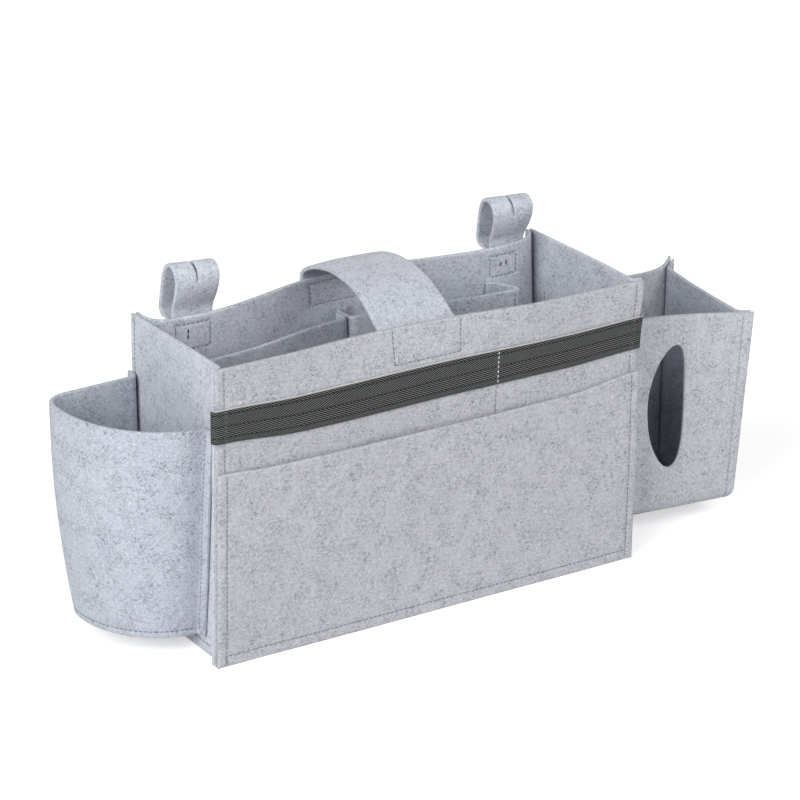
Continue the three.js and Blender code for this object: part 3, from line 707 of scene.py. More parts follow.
surface, frontLong = wallSkin([0.0, high], frontLine)
sideSeams = [frontPanel["seamIn"], frontLong - frontPanel["seamIn"]]
handleS = [frontLong/2 + x for x in frontPanel["handleBox"][:2]]
handleZ = list(frontPanel["handleBox"][2:])
handleRuns = boxRun(*handleS, *handleZ)[:3]
dividerS = frontLong/2 + frontPanel["dividerX"]
dividerRun = [upright(dividerS, *frontPanel["divider"])]
frontRuns = [upright(q, inset, high - frontPanel["seamDrop"]) for q in sideSeams]
frontRuns.append(level(frontPanel["footSeam"], *sideSeams))
sheet = rectPiece("frontPanelFelt", surface, (0, frontLong, 0, high), paleFelt,
                  frontRuns + handleRuns + dividerRun, ("foot", "start", "end"),
                  sideSeams + [dividerS] + handleS, [frontPanel["footSeam"]] + handleZ)
place(sheet, ["front_panel"])
shownRuns = [upright(q, *span) for span in frontPanel["shownSeams"] for q in sideSeams]
sew("frontPanelThread", sheet, 1, shownRuns + handleRuns + dividerRun, greyThreadPaintedShade)
sew("frontPanelThreadInside", sheet, -1, dividerRun, greyThreadPaintedShade)

# Front pocket panel: over the front panel, its free edge a little slack and rising at both corners

frontPocket = {"height": 133.0, "slack": 2.4, "riseLeft": (2.0, 120.0, 38.0), "riseRight": (1.0, 95.0, 64.0),
               "rightRise": 5.5, "rightCurve": 1.4, "riseCurve": 5, "seamDrop": 1.0}


def pocketLine(z):
    x = np.linspace(-frontEdge(z), frontEdge(z), fineness["front"])
    up = z/frontPocket["height"]
    stand = frontPocket["slack"]*np.cos(math.pi*x/(2*frontEdge(z)))**2*up**2
    right = frontPocket["rightRise"]*swell(x, *frontPocket["riseRight"])**frontPocket["rightCurve"]
    rise = swell(-x, *frontPocket["riseLeft"]) + right
    return np.column_stack([x, frontY(z) - ply - stand, z + rise*up**frontPocket["riseCurve"]])


pocketTop = frontPocket["height"]
pocketKeys = np.linspace(0, pocketTop, 13)
surface, pocketLong = skin(pocketKeys, [pocketLine(z) for z in pocketKeys])
pocketSeams = [frontPanel["seamIn"], pocketLong - frontPanel["seamIn"]]
pocketRuns = [upright(q, inset, pocketTop - frontPocket["seamDrop"]) for q in pocketSeams]
pocketRuns.append(level(frontPanel["footSeam"], *pocketSeams))
sheet = rectPiece("frontPocketFelt", surface, (0, pocketLong, 0, pocketTop), paleFelt, pocketRuns,
                  ("foot", "start", "end"), pocketSeams, [frontPanel["footSeam"]])
place(sheet, ["front_pocket_panel"])
sew("frontPocketThread", sheet, 1, pocketRuns, greyThreadPaintedShade)

# Webbing strap: herringbone tape across the front, turned round the front panel's side edges

webbing = {"width": 24.5, "thickness": 1.4, "drop": 27.5, "clear": 0.3, "bulge": 0.9, "endRise": 1.4,
           "endNarrow": (1.8, 0.6), "endRun": (1.0, 100.0, 55.0), "seamOut": 0.3, "seamInset": 1.2,
           "dividerInset": 0.8, "cells": (2.5, 1.4), "darkRadius": 0.48, "paleShown": 2.2}
webTop = high - webbing["drop"]
webLow = webTop - webbing["width"]


def webbingLine(z):
    clear = webbing["clear"] + webbing["thickness"]/2
    front, rear, edge = frontY(z) - felt/2 - clear, frontY(z) + felt/2, frontEdge(z)
    out = edge + clear + webbing["bulge"]
    across = [(x, front) for x in np.linspace(-edge, edge, fineness["front"])[1:]]
    line = walk((-out, rear), (-out, front + clear), (-out, front, -edge, front), *across,
                (out, front, out, front + clear), (out, rear))
    left, right = swell(-line[:, 0], *webbing["endRun"]), swell(line[:, 0], *webbing["endRun"])
    narrow = (webbing["endNarrow"][0]*left + webbing["endNarrow"][1]*right)*(webTop - z)/webbing["width"]
    return np.column_stack([line, z + webbing["endRise"]*(left + right) + narrow])


surface, webLong = skin([webLow, webTop], [webbingLine(webLow), webbingLine(webTop)])
webSeam = (webLong - frontLong)/2 + frontPanel["seamIn"] + webbing["seamOut"]
webSeams = [webSeam, webLong - webSeam]
webDivider = webLong/2 + frontPanel["dividerX"]
webRuns = [upright(q, webLow + webbing["seamInset"], webTop - webbing["seamInset"]) for q in webSeams]
webDividerRun = [upright(webDivider, webLow + webbing["dividerInset"], webTop - webbing["dividerInset"])]
sheet = rectPiece("webbingTape", surface, (0, webLong, webLow, webTop), tapeWoven, webRuns + webDividerRun,
                  ("top",), webSeams + [webDivider], (), webbing["cells"], thickness=webbing["thickness"])
place(sheet, ["webbing_strap"])
sew("webbingThreadDark", sheet, 1, webRuns, darkThread, radius=webbing["darkRadius"])
sew("webbingThreadPale", sheet, 1, webDividerRun, paleThread, shown=webbing["paleShown"])
print("front made")

# End panels: front edge turned outward behind the front panel, rear edge a fin beside the back panel's

endPanel = {"flangeSeam": 4.0, "footSeam": 7.5, "rearSeam": 4.5, "footStart": 16.0,
            # the outer pockets' seams show inside: distance from the front edge, top and foot
            "inside": {"left": ((114.5, 163.0, 24.0),), "right": ((98.8, 166.0, 24.0), (20.5, 158.0, 24.0))}}
for name, sign in (("left", -1), ("right", 1)):
    def endLine(z):
        y, x = frontY(z) + ply, endX(z)
        line = walk((frontEdge(z), y), (x + bend, y), (x, y, x, y + bend), (x, box["depth"]))*(sign, 1)
        return line if sign > 0 else line[::-1]

    surface, endLong = wallSkin(np.linspace(0, high, 3), endLine)

    def fromFront(q):
        return q if sign > 0 else endLong - q

    flangeS, rearS = fromFront(endPanel["flangeSeam"]), fromFront(endLong - endPanel["rearSeam"])
    runs = [upright(flangeS, inset, high - inset), upright(rearS, inset, high - inset),
            level(endPanel["footSeam"], fromFront(endPanel["footStart"]), rearS)]
    sheet = rectPiece(name + "EndPanelFelt", surface, (0, endLong, 0, high), feltPaintedBrightLight, runs, ("foot",),
                      [flangeS, rearS], [endPanel["footSeam"]])
    place(sheet, [name + "_end_panel"])
    sew(name + "EndPanelThread", sheet, 1, runs, greyThreadPaintedShade)
    insideRuns = [upright(fromFront(q), top, low) for q, top, low in endPanel["inside"][name]]
    sew(name + "EndPanelThreadInside", sheet, -1, insideRuns, greyThreadPaintedShade)

# Back panel: edges turned back as fins, rim in a wave

backPanel = {"finSeam": 4.5, "footSeam": 7.5, "footInset": 14.0, "boxLevel": 192.0, "cells": (3.0, 3.4),
             "boxes": ((-27.0, 19.0, 186.0, 201.0),  # the handle's stitches, then the loops'
                       (-137.0, -112.0, 182.0, 200.0), (109.0, 130.0, 184.0, 199.0)),
             "pocketSeams": (108.5, -1.5, -129.0), "pocketRun": (14.0, 178.0),
             "tacks": (((-128.5, 197.0), (-128.5, 189.0)), ((118.0, 196.0), (116.0, 189.0)),
                       ((122.0, 196.0), (121.0, 190.0))),
             "tackThread": {"pitch": 3.9, "shown": 3.5, "radius": 0.46},
             "rightSlant": 12.0, "slantPull": (0.4, 0.15)}  # the right bend starts earlier at the rim


def backLine(z):
    finX, turn = rearFinX(z), mix(*box["rearBend"], z/high)
    slant = backPanel["rightSlant"]*(z/high)**2
    start = finX - turn - slant
    corner, left = rearY(start, z), rearY(turn - finX, z)
    pullX, pullY = backPanel["slantPull"]
    across = [(x, rearY(x, z)) for x in np.linspace(start, turn - finX, fineness["back"])[1:]]
    return walk((finX, box["depth"]), (finX, corner + turn),
                (finX - pullX*slant, corner + pullY*slant, start, corner), *across,
                (-finX, left, -finX, left + turn), (-finX, box["depth"]))


backSurface, backLong = wallSkin(np.linspace(0, high, 21), backLine)


def backS(x, z):  # distance along the back panel at an x
    s = np.linspace(0, backLong, fineness["search"])[40:-40]  # without the fins
    return float(np.interp(-x, -backSurface(s, np.full_like(s, z))[:, 0], s))


def onBack(*places):
    return [(backS(x, z), z) for x, z in places]


finSeams = [backPanel["finSeam"], backLong - backPanel["finSeam"]]
pocketLines = [onBack(*((x, z) for z in backPanel["pocketRun"])) for x in backPanel["pocketSeams"]]
backRuns = [upright(q, inset, high - inset) for q in finSeams]
backRuns.append(level(backPanel["footSeam"], backPanel["footInset"], backLong - backPanel["footInset"]))
insideRuns, boxS, boxZ = [], [], []
for x0, x1, z0, z1 in backPanel["boxes"]:
    ends = [backS(x, backPanel["boxLevel"]) for x in (x0, x1)]
    insideRuns += boxRun(*ends, z0, z1)
    boxS += ends
    boxZ += [z0, z1]
sheet = rectPiece("backPanelFelt", backSurface, (0, backLong, 0, high), feltPaintedBrightLight,
                  backRuns + insideRuns + pocketLines, ("foot",), finSeams + boxS,
                  [backPanel["footSeam"]] + boxZ, backPanel["cells"])
place(sheet, ["back_panel"])
sew("backPanelThread", sheet, 1, backRuns + pocketLines, greyThreadPaintedShade)
sew("backPanelThreadInside", sheet, -1, insideRuns, greyThreadPaintedShade)
tackRuns = [onBack(*tack) for tack in backPanel["tacks"]]
sew("backPanelTacks", sheet, -1, tackRuns, darkThread, **backPanel["tackThread"])
print("walls made")

# Base panel: a plate whose four edges turn down inside the walls

basePanel = {"rise": 11.0, "notch": 6.0, "radius": 3.0, "cells": (1.2, 6.0)}
baseHalf = endX(basePanel["rise"]) - felt/2 - gap - felt/2
baseFront = frontY(0) + felt/2 + gap + felt/2
baseRear = rearY(-loopX, basePanel["rise"]) - felt/2 - gap - felt/2
baseMiddle, baseDeep = (baseFront + baseRear)/2, (baseRear - baseFront)/2
foldArc = basePanel["radius"]*math.pi/2
foldOut = foldArc - basePanel["radius"] + (basePanel["rise"] - felt/2 - basePanel["radius"])


def folded(q, half):  # flat distance from the middle to place and drop
    r = basePanel["radius"]
    over = np.abs(q) - (half - r)
    angle = np.clip(over/r, 0, math.pi/2)
    drop = r*(1 - np.cos(angle)) + np.clip(over - foldArc, 0, None)
    return np.sign(q)*(np.minimum(np.abs(q), half - r) + r*np.sin(angle)), drop


def baseSurface(s, t):
    x, dropX = folded(np.asarray(s, float), baseHalf)
    y, dropY = folded(np.asarray(t, float), baseDeep)
    return np.stack([x, baseMiddle + y, basePanel["rise"] - felt/2 - dropX - dropY], axis=-1)


def baseLines(inner, outer):
    fine, coarse = basePanel["cells"]
    parts = [lines(-outer, -inner, (), fine), lines(-inner, inner, (), coarse), lines(inner, outer, (), fine)]
    return np.array(sorted(set(np.concatenate(parts).round(4))))


outX, outY = baseHalf + foldOut, baseDeep + foldOut
inX, inY = baseHalf - basePanel["notch"], baseDeep - basePanel["notch"]
flat, faces = gridOf(baseLines(inX, outX), baseLines(inY, outY))
centre = np.abs(flat[faces].mean(axis=1))
faces = faces[(centre[:, 0] <= inX) | (centre[:, 1] <= inY)]
baseEdges = []
for a, b in itertools.product((-1, 1), (-1, 1)):
    baseEdges.append([(a*outX, b*inY), (a*inX, b*inY), (a*inX, b*outY)])
for a in (-1, 1):
    baseEdges += [upright(a*outX, -inY, inY), level(a*outY, -inX, inX)]
sheet = feltPiece("basePanelFelt", baseSurface, flat, faces, paleFelt, baseEdges)
place(sheet, ["base_panel"])

# Inner pockets: strips that stand off the back panel

innerPocket = {"rim": 181.0, "foot": 11.3, "depth": 22.0, "width": 127.0, "split": -7.0, "joint": 9.0,
               "slant": 7.0, "seams": {"right": (4.5, 4.5), "left": (5.0, 4.5)},
               "cornerSeam": 5.0, "cell": 3.0}


def pocketSeam(x, z):
    return x, rearY(x, z) - ply


def pocketFace(x, z):
    return x, rearY(x, z) - innerPocket["depth"]


def faceAndGusset(right, left, z):  # along the face, back to the panel at the left and onto the flange
    across = [pocketFace(x, z) for x in np.linspace(right - bend, left + bend, fineness["pocket"])[1:]]
    front, seam = pocketFace(left, z), pocketSeam(left, z)
    return across + [(*front, left, front[1] + bend), (left, seam[1] - bend),
                     (*seam, *pocketSeam(left + bend, z)), pocketSeam(left + box["flange"], z)]


def rightPocketLine(z):
    left = innerPocket["split"]
    right = left + innerPocket["width"]
    root = np.array(pocketSeam(right - innerPocket["slant"], z))
    corner = np.array(pocketFace(right, z))
    turn = bend/np.linalg.norm(corner - root)
    return walk(pocketSeam(root[0] - box["flange"], z), pocketSeam(root[0] - bend, z),
                (*root, *mix(root, corner, turn)), tuple(mix(corner, root, turn)),
                (*corner, *pocketFace(right - bend, z)), *faceAndGusset(right, left, z))


def leftPocketLine(z):
    right, left = innerPocket["split"] - ply, innerPocket["split"] - innerPocket["width"]
    y = pocketFace(right, z)[1]
    return walk((right, y + bend + innerPocket["joint"]), (right, y + bend),
                (right, y, *pocketFace(right - bend, z)), *faceAndGusset(right, left, z))


low, top = innerPocket["foot"], innerPocket["rim"]
for name, planAt in (("right", rightPocketLine), ("left", leftPocketLine)):
    surface, long = wallSkin(np.linspace(low, top, 15), planAt)
    seamS = [innerPocket["seams"][name][0], long - innerPocket["seams"][name][1]]
    if name == "right":  # its outer corner is sewn as a fold
        s = np.linspace(0, long, 400)
        corner = s[np.argmax(surface(s, np.full_like(s, top))[:, 0])]
        seamS.append(float(corner) + innerPocket["cornerSeam"])
    runs = [upright(q, low + inset, top - inset) for q in seamS]
    sheet = rectPiece(name + "InnerPocketFelt", surface, (0, long, low, top), feltPaintedCoolLight, runs, (), seamS, (),
                      (innerPocket["cell"], None))
    place(sheet, [name + "_inner_pocket"])
    sew(name + "InnerPocketThread", sheet, -1, runs, greyThreadPaintedShade)
print("inside made")

# Carry handle: from inside the front panel over to the outside of the back panel

handle = {"width": 55.0, "offset": -4.0, "rise": 16.5, "crown": 0.64, "leave": 14.0, "tail": 23.0,
          "away": 0.75, "up": (0.27, 0.55, 0.6), "down": (0.45, 0.5), "frontBox": (2.5, 20.5),
          "rearBox": (20.0, 4.5), "boxInset": 4.5, "cells": (3.0, 3.5)}


def handleLine(x):
    tailEnd, leave, crown = high - handle["tail"], high - handle["leave"], high + handle["rise"]

    def inside(z):
        return frontY(z) + ply

    def outside(z):
        return rearY(x, z) + ply

    over = outside(high)
    crownY = mix(inside(high), over, handle["crown"])
    back = inside(leave) + handle["leave"]*handle["away"]
    upNear, upHigh, upFar = handle["up"]
    downFar, downHigh = handle["down"]
    path = walk((inside(tailEnd), tailEnd), (inside(leave), leave),
                (inside(leave), leave + handle["leave"]/2, back, high - handle["leave"]/3),
                (mix(back, crownY, upNear), mix(high, crown, upHigh),
                 mix(back, crownY, upFar), crown, crownY, crown),
                (mix(crownY, over, downFar), crown, over, mix(high, crown, downHigh), over, high + felt/2),
                (over, high), (outside(tailEnd), tailEnd))
    return np.column_stack([np.full(len(path), x), path])


handleLow, handleTop = handle["offset"] - handle["width"]/2, handle["offset"] + handle["width"]/2
handleKeys = np.linspace(handleLow, handleTop, 13)
surface, handleLong = skin(handleKeys, [handleLine(x) for x in handleKeys])
boxX = [handleLow + handle["boxInset"], handleTop - handle["boxInset"]]
rearS = [handleLong - q for q in handle["rearBox"]]
frontBox, rearBox = boxRun(*handle["frontBox"], *boxX), boxRun(*rearS, *boxX)
sheet = rectPiece("carryHandleFelt", surface, (0, handleLong, handleLow, handleTop), feltPaintedBrightLight,
                  frontBox + rearBox, (), list(handle["frontBox"]) + rearS, boxX, handle["cells"])
place(sheet, ["carry_handle"])
sew("carryHandleThread", sheet, -1, rearBox, greyThreadPaintedShade)
sew("carryHandleThreadInside", sheet, 1, frontBox, greyThreadPaintedShade)

# Hanging loops: one felt strip each, sewn flat behind the back panel, folded over and slit across the fold.
# Front and rear legs are in shares of forward or back, and of the loop's height over its hinge.

loop = {"rise": {"left": 36.5, "right": 34.0}, "shift": {"left": 0.0, "right": 2.6}, "twist": 0.2,
        "slitWide": 0.95, "slitLong": 11.0, "slitCurve": 0.6, "slitRow": 1.6, "hingeDrop": 7.0,
        "bendOver": 3.0, "forward": 11.0, "back": 14.0,
        "frontLeg": ((0.3, 0.31), (0.72, 0.52), (1.0, 0.74), (0.95, 0.9), (0.5, 1.0)),
        "rearLeg": ((0.08, 0.96), (0.45, 0.79), (0.7, 0.57), (0.9, 0.35), (1.0, 0.2), (0.88, 0.125),
                    (0.5, 0.105), (0.26, 0.01), (0.18, -0.11)),
        "tail": 18.0, "tailDrop": 3.45, "rearTailDrop": 5.5, "box": (17.5, 3.5), "boxInset": 4.0,
        "cells": (1.6, 3.0)}
loopHalf = box["loopWidth"]/2


def smoothThrough(points):  # centripetal curve through the points
    p = np.asarray(points, float)
    p = np.concatenate([[2*p[0] - p[1]], p, [2*p[-1] - p[-2]]])
    done = []
    for a, b, c, d in zip(p[:-3], p[1:-2], p[2:-1], p[3:]):
        k0 = 0.0
        k1 = k0 + np.linalg.norm(b - a)**0.5
        k2 = k1 + np.linalg.norm(c - b)**0.5
        k3 = k2 + np.linalg.norm(d - c)**0.5
        for k in np.linspace(k1, k2, 13)[:-1]:
            ab = mix(a, b, (k - k0)/(k1 - k0))
            bc = mix(b, c, (k - k1)/(k2 - k1))
            cd = mix(c, d, (k - k2)/(k3 - k2))
            abc = mix(ab, bc, (k - k0)/(k2 - k0))
            bcd = mix(bc, cd, (k - k1)/(k3 - k1))
            done.append(mix(abc, bcd, (k - k1)/(k2 - k1)))
    done.append(p[-2])
    return np.array(done)


def behindBack(sign, z):
    return max(backY(sign*loopX + d, z) for d in (-loopHalf, 0.0, loopHalf)) + felt/2 + gap


hingeZ = high - loop["hingeDrop"]
tailTop = hingeZ - loop["tailDrop"]
tailLow = tailTop - loop["tail"]
for name, sign in (("left", -1), ("right", 1)):
    hingeY = behindBack(sign, hingeZ) + (felt + ply)/2
    middleX, top = sign*loopX, loop["hingeDrop"] + loop["rise"][name] - felt/2
    atRim = behindBack(sign, high) + ply/2 - hingeY
    frontTail = [(behindBack(sign, z) + felt/2, z) for z in np.linspace(tailLow, tailTop, 4)]
    rearTail = [(behindBack(sign, z) + ply + felt/2, z)
                for z in np.linspace(tailTop - loop["rearTailDrop"], tailLow, 4)]
    free = [(-ply/2, 0), (atRim, loop["hingeDrop"])]
    free += [(-y*loop["forward"], z*top) for y, z in loop["frontLeg"]]
    free += [(y*loop["back"], z*top) for y, z in loop["rearLeg"]]
    path = smoothThrough(frontTail + [(hingeY + y, hingeZ + z) for y, z in free] + rearTail)
    ends = (middleX - loopHalf, middleX + loopHalf)
    risen = np.clip(path[:, 1] - high, 0, None)/(top - loop["hingeDrop"])
    strips, stripX = [], np.linspace(*ends, 9)
    for x in stripX:  # the strip lies on the back panel's bend and turns a little towards its fold
        placed = x + loop["shift"][name]*(1 - np.clip(risen, 0, 1))
        onBend = backSurface(backS(placed[0], high), high)[1] + felt/2 + gap
        hug = max(onBend - behindBack(sign, high), 0)
        turned = path[:, 0] + hug*(1 - risen) - loop["twist"]*(x - middleX)*risen
        strips.append(np.column_stack([placed, turned, path[:, 1]]))
    surface, loopLong = skin(stripX, strips)
    walkS = np.linspace(0, loopLong, 600)
    heights = surface(walkS, np.full_like(walkS, ends[0]))[:, 2]
    slitFoot = heights.max() - loop["slitLong"]

    def slitHalf(s):  # the slit gapes more towards the fold
        share = np.clip((np.interp(s, walkS, heights) - slitFoot)/loop["slitLong"], 0, 1)
        return share**loop["slitCurve"]*loop["slitWide"]

    slitS = walkS[heights > slitFoot]
    rearS = [loopLong - q for q in loop["box"]]
    rearBox = boxRun(*rearS, ends[0] + loop["boxInset"], ends[1] - loop["boxInset"])
    sLines = np.array(sorted(set(lines(0, loopLong, rearS, loop["cells"][0])) | {slitS[0], slitS[-1]}))
    low = lines(ends[0], middleX - loop["slitRow"], [ends[0] + loop["boxInset"]], loop["cells"][1])
    flat, faces = gridOf(sLines, np.concatenate([low, [middleX, middleX], 2*middleX - low[::-1]]))
    # the two middle rows part where the slit is, and nothing joins them there
    row = np.arange(len(flat))//len(sLines)
    apart = (row == len(low) + 1)*1.0 - (row == len(low))*1.0
    flat[:, 1] += apart*slitHalf(flat[:, 0])
    faces = faces[faces[:, 0]//len(sLines) != len(low)]
    slitEdges = [np.column_stack([slitS, middleX + way*slitHalf(slitS)])[::3] for way in (-1, 1)]
    sheet = feltPiece(name + "LoopFelt", surface, flat, faces, feltPaintedBrightLight,
                      frameLines(0, loopLong, *ends) + slitEdges, rearBox, weld=True)
    place(sheet, [name + "_hanging_loop", name + "_loop_tail"],
          bodies=("caddy", name + "_loop"))
    sew(name + "LoopThread", sheet, -1, rearBox, greyThreadPaintedShade)
print("handle and loops made")

# Bottle pocket: one curved wall, narrower at its foot, and a disc with its edge turned down

bottle = {"foot": 13.0, "rimFront": 160.5, "rimRear": 166.0, "reachRim": 69.3, "reachFoot": 55.7,
          "bulge": 4.0, "frontRim": 16.5, "frontFoot": 31.3, "rear": 108.5, "corner": 17.0,
          "round": (0.55, 0.42), "frontFlange": 5.0, "flangeSeam": 1.5, "rearBend": 1.8, "rearSeam": 4.0,
          "footSeam": 5.0, "footRun": (12.0, 6.0), "rimSlope": 2.7, "cell": 3.4}


def bottlePlan(share, z):
    seamX = -(endFace(z) + gap + felt/2)
    front = mix(bottle["frontFoot"], bottle["frontRim"], share)
    rear, corner = bottle["rear"], bottle["corner"]
    reach = mix(bottle["reachFoot"], bottle["reachRim"], share)
    out = -(endFace(z) + reach + bottle["bulge"]*math.sin(math.pi*share))
    roundX, roundY = bottle["round"]
    return walk((seamX, front - bend - bottle["frontFlange"]), (seamX, front - bend),
                (seamX, front, seamX - bend, front),
                (mix(seamX, out, roundX), front, out, mix(front, rear - corner, roundY), out, rear - corner),
                (out, rear, out + corner, rear), (seamX - bottle["rearBend"], rear),
                (seamX, rear, seamX, rear + bottle["rearBend"]), (seamX, box["depth"]))


bottleTall = bottle["rimFront"] - bottle["foot"]
rim = np.linspace(bottle["rimFront"], bottle["rimRear"], 260)
bottleLines = []
for share in np.linspace(0, 1, 9):
    plan = evenly(bottlePlan(share, mix(bottle["foot"], bottle["rimFront"], share)), len(rim))
    bottleLines.append(np.column_stack([plan, mix(bottle["foot"], rim, share)])[::-1])
surface, bottleLong = skin(np.linspace(0, bottleTall, 9), bottleLines)
seamS = [bottleLong - bottle["frontFlange"] - bottle["flangeSeam"], bottle["rearSeam"]]
runs = [upright(q, inset, bottleTall - inset) for q in seamS]
runs.insert(1, level(bottle["footSeam"], bottle["footRun"][0], seamS[0] - bottle["footRun"][1]))
sheet = rectPiece("bottlePocketFelt", surface, (0, bottleLong, 0, bottleTall), feltPaintedCoolLight, runs, ("foot",),
                  seamS, [bottle["footSeam"]], (bottle["cell"], None))
place(sheet, ["bottle_pocket_wall"])
sew("bottlePocketThread", sheet, 1, runs, greyThreadPaintedShade)

disc = {"rise": 10.0, "radius": 34.0, "turn": 3.0, "reach": 8.6, "around": 180, "columns": 61, "hub": 0.05,
        "hem": 8.0}


def rightOf(runs):  # unit vectors to the right of each run
    return unit(np.column_stack([runs[:, 1], -runs[:, 0]]))


plan = bottlePlan(0, bottle["foot"])
discLine = plan + rightOf(np.gradient(plan, axis=0))*(felt + gap)
discLine = discLine[discLine[:, 0] < -(endFace(bottle["foot"]) + gap + felt/2 + bend)]
discLine = evenly(np.concatenate([discLine, discLine[:1]]), disc["around"] + 1)[::-1][:-1]
for _ in range(3):  # eases the two corners at the end panel
    discLine = (np.roll(discLine, 1, 0) + 2*discLine + np.roll(discLine, -1, 0))/4
discOut = rightOf(np.roll(discLine, -1, 0) - np.roll(discLine, 1, 0))
discMiddle = discLine.mean(axis=0)
discLine, discOut = (np.concatenate([points, points[:1]]) for points in (discLine, discOut))
discKeys, discRows = list(np.linspace(0, disc["radius"], 9)), []
discKeys += [disc["radius"] + disc["turn"]*a for a in np.linspace(0.2, math.pi/2, 6)]
discKeys.append(disc["radius"] + disc["reach"])
for far in discKeys:
    over = max(far - disc["radius"], 0)
    share, angle = min(far/disc["radius"], 1), min(over/disc["turn"], math.pi/2)
    drop = disc["turn"]*(1 - math.cos(angle)) + max(over - disc["turn"]*math.pi/2, 0)
    ring = discMiddle + (discLine - discOut*disc["turn"] - discMiddle)*share
    ring = ring + discOut*disc["turn"]*math.sin(angle)
    discRows.append(atHeight(ring, bottle["foot"] + disc["rise"] - felt/2 - drop))
surface = tableSurface(discKeys, np.stack(discRows), disc["around"], closed=True)
flat, faces = gridOf(np.linspace(0, disc["around"], disc["columns"]), np.array([disc["hub"]] + discKeys[1:]))
sheet = feltPiece("bottleBaseFelt", surface, flat, faces, feltPaintedCoolLight,
                  [level(discKeys[-1], -disc["around"], 2*disc["around"])], weld=True)
place(sheet, ["bottle_pocket_base"])
print("bottle pocket made")

# Tissue pocket: a wrap for front, bottom and back with an oval hole, and an outer side set into its end

tissue = {"width": 107.0, "front": 25.0, "rear": 101.0, "foot": 18.0, "fold": 8.0, "fin": 7.0, "dent": 6.5,
          "splayFront": 9.0, "splayRear": 7.0, "droop": 6.0, "flare": 6.0, "rearShort": 5.0, "rearLift": 7.0,
          "splayCurve": 6, "liftCurve": 12, "shortCurve": 7,
          "rimFront": 160.5, "rimRear": 166.0, "rimTweak": (3.4, 1.2), "rimOuter": 4.0, "leastFold": 0.6,
          "oval": (31.0, 89.0, 45.9, 76.5), "ovalBow": (9.0, 4.0), "ovalClear": 9.0, "innerSeam": 4.0,
          "cell": 3.4, "ringShares": (0.35, 0.65), "ringEdge": (1.8, 0.9, 0.3, 0.0), "ringLeast": 0.7}
tissueDeep = tissue["rear"] - tissue["front"]
quarterRound = 0.5523  # pull of a cubic curve for a quarter of a circle


def tissuePlace(out, y, z):
    share = out/tissue["width"]
    back = (y - tissue["front"])/tissueDeep
    up = (z - tissue["foot"])/(tissue["rimFront"] - tissue["foot"])
    frontShift = tissue["dent"]*np.sin(math.pi*share)*up - tissue["splayFront"]*share**2*up
    rearShift = tissue["splayRear"]*share**tissue["splayCurve"]*up
    lowered = z - tissue["droop"]*share + tissue["rearLift"]*share**tissue["liftCurve"]*up*back**4
    atBox, atEnd = tissue["rimTweak"]
    lowered = lowered + (atBox*(1 - share)**2 - atEnd*share)*up**3*(1 - back)
    flared = (tissue["flare"]*up - tissue["rearShort"]*back*share**tissue["shortCurve"])*share
    x = endFace(lowered) + gap + felt/2 + out + flared
    return np.stack([x, y + mix(frontShift, rearShift, back), lowered], axis=-1)


def tissueProfile(inward, count):  # down the front, under, and up the back, in (y, z)
    front, rear, foot = tissue["front"] + inward, tissue["rear"] - inward, tissue["foot"] + inward
    fold = min(max(tissue["fold"] - inward, tissue["leastFold"]), max((rear - front)/2 - 0.01, 0.01))
    pull = fold*(1 - quarterRound)
    rim = [tissue["rimFront"], tissue["rimRear"]]
    if inward >= tissue["rimOuter"]:
        rim = [mix(*rim, min(max((y - tissue["front"])/tissueDeep, 0), 1)) for y in (front, rear)]
    path = walk((front, rim[0]), (front, foot + fold),
                (front, foot + pull, front + pull, foot, front + fold, foot), (rear - fold, foot),
                (rear - pull, foot, rear, foot + pull, rear, foot + fold), (rear, rim[1]))
    return evenly(path, count).T


section = walk((0, -box["flange"]), (0, -bend), (0, 0, bend, 0), (tissue["width"], 0))
section = evenly(section, fineness["section"])
wrapRows = [tissuePlace(out, *tissueProfile(inward, fineness["wrap"])) for out, inward in section]
wrapWide, wrapLong = lengthOf(section), lengthOf(wrapRows[60])
wrapSurface = tableSurface(np.linspace(0, wrapWide, len(section)), np.stack(wrapRows), wrapLong)
finSeam = wrapWide - tissue["fin"]
ovalWide, ovalHigh, ovalOut, ovalUp = tissue["oval"]
ovalMiddle = tissuePlace(ovalOut, tissue["front"], tissue["foot"] + ovalUp)


def onWrapFront(x, z):  # flat place of a point seen straight from the front, found in a few steps
    s, t = tissue["rimFront"] - z, x - endFace(z) + tissue["fin"]
    for _ in range(12):
        here = wrapSurface(s, t)
        ds = wrapSurface(s + 0.5, t) - wrapSurface(s - 0.5, t)
        dt = wrapSurface(s, t + 0.5) - wrapSurface(s, t - 0.5)
        step = np.linalg.solve([[ds[0], dt[0]], [ds[2], dt[2]]], [x - here[0], z - here[2]])
        s, t = s + step[0], t + step[1]
    return s, t


def ovalPoint(angle):
    rise = math.sin(angle)
    bow = tissue["ovalBow"][0 if rise > 0 else 1]*rise**2
    return onWrapFront(ovalMiddle[0] + ovalWide/2*math.cos(angle) + bow, ovalMiddle[2] + ovalHigh/2*rise)


def nearestLines(gridLines, values):  # the grid lines that leave room round the oval
    wanted = (values.min() - tissue["ovalClear"], values.max() + tissue["ovalClear"])
    return [gridLines[np.argmin(abs(gridLines - q))] for q in wanted]


around = np.array([ovalPoint(a) for a in np.linspace(0, 2*math.pi, fineness["oval"])])
sLines = lines(0, wrapLong, (), tissue["cell"])
tLines = lines(0, wrapWide, [tissue["innerSeam"], finSeam], tissue["cell"])
s0, s1 = nearestLines(sLines, around[:, 0])
t0, t1 = nearestLines(tLines, around[:, 1])
flat, faces = gridOf(sLines, tLines)
s, t = flat[faces].mean(axis=1).T
faces = [tuple(face) for face in faces[~((s > s0) & (s < s1) & (t > t0) & (t < t1))]]
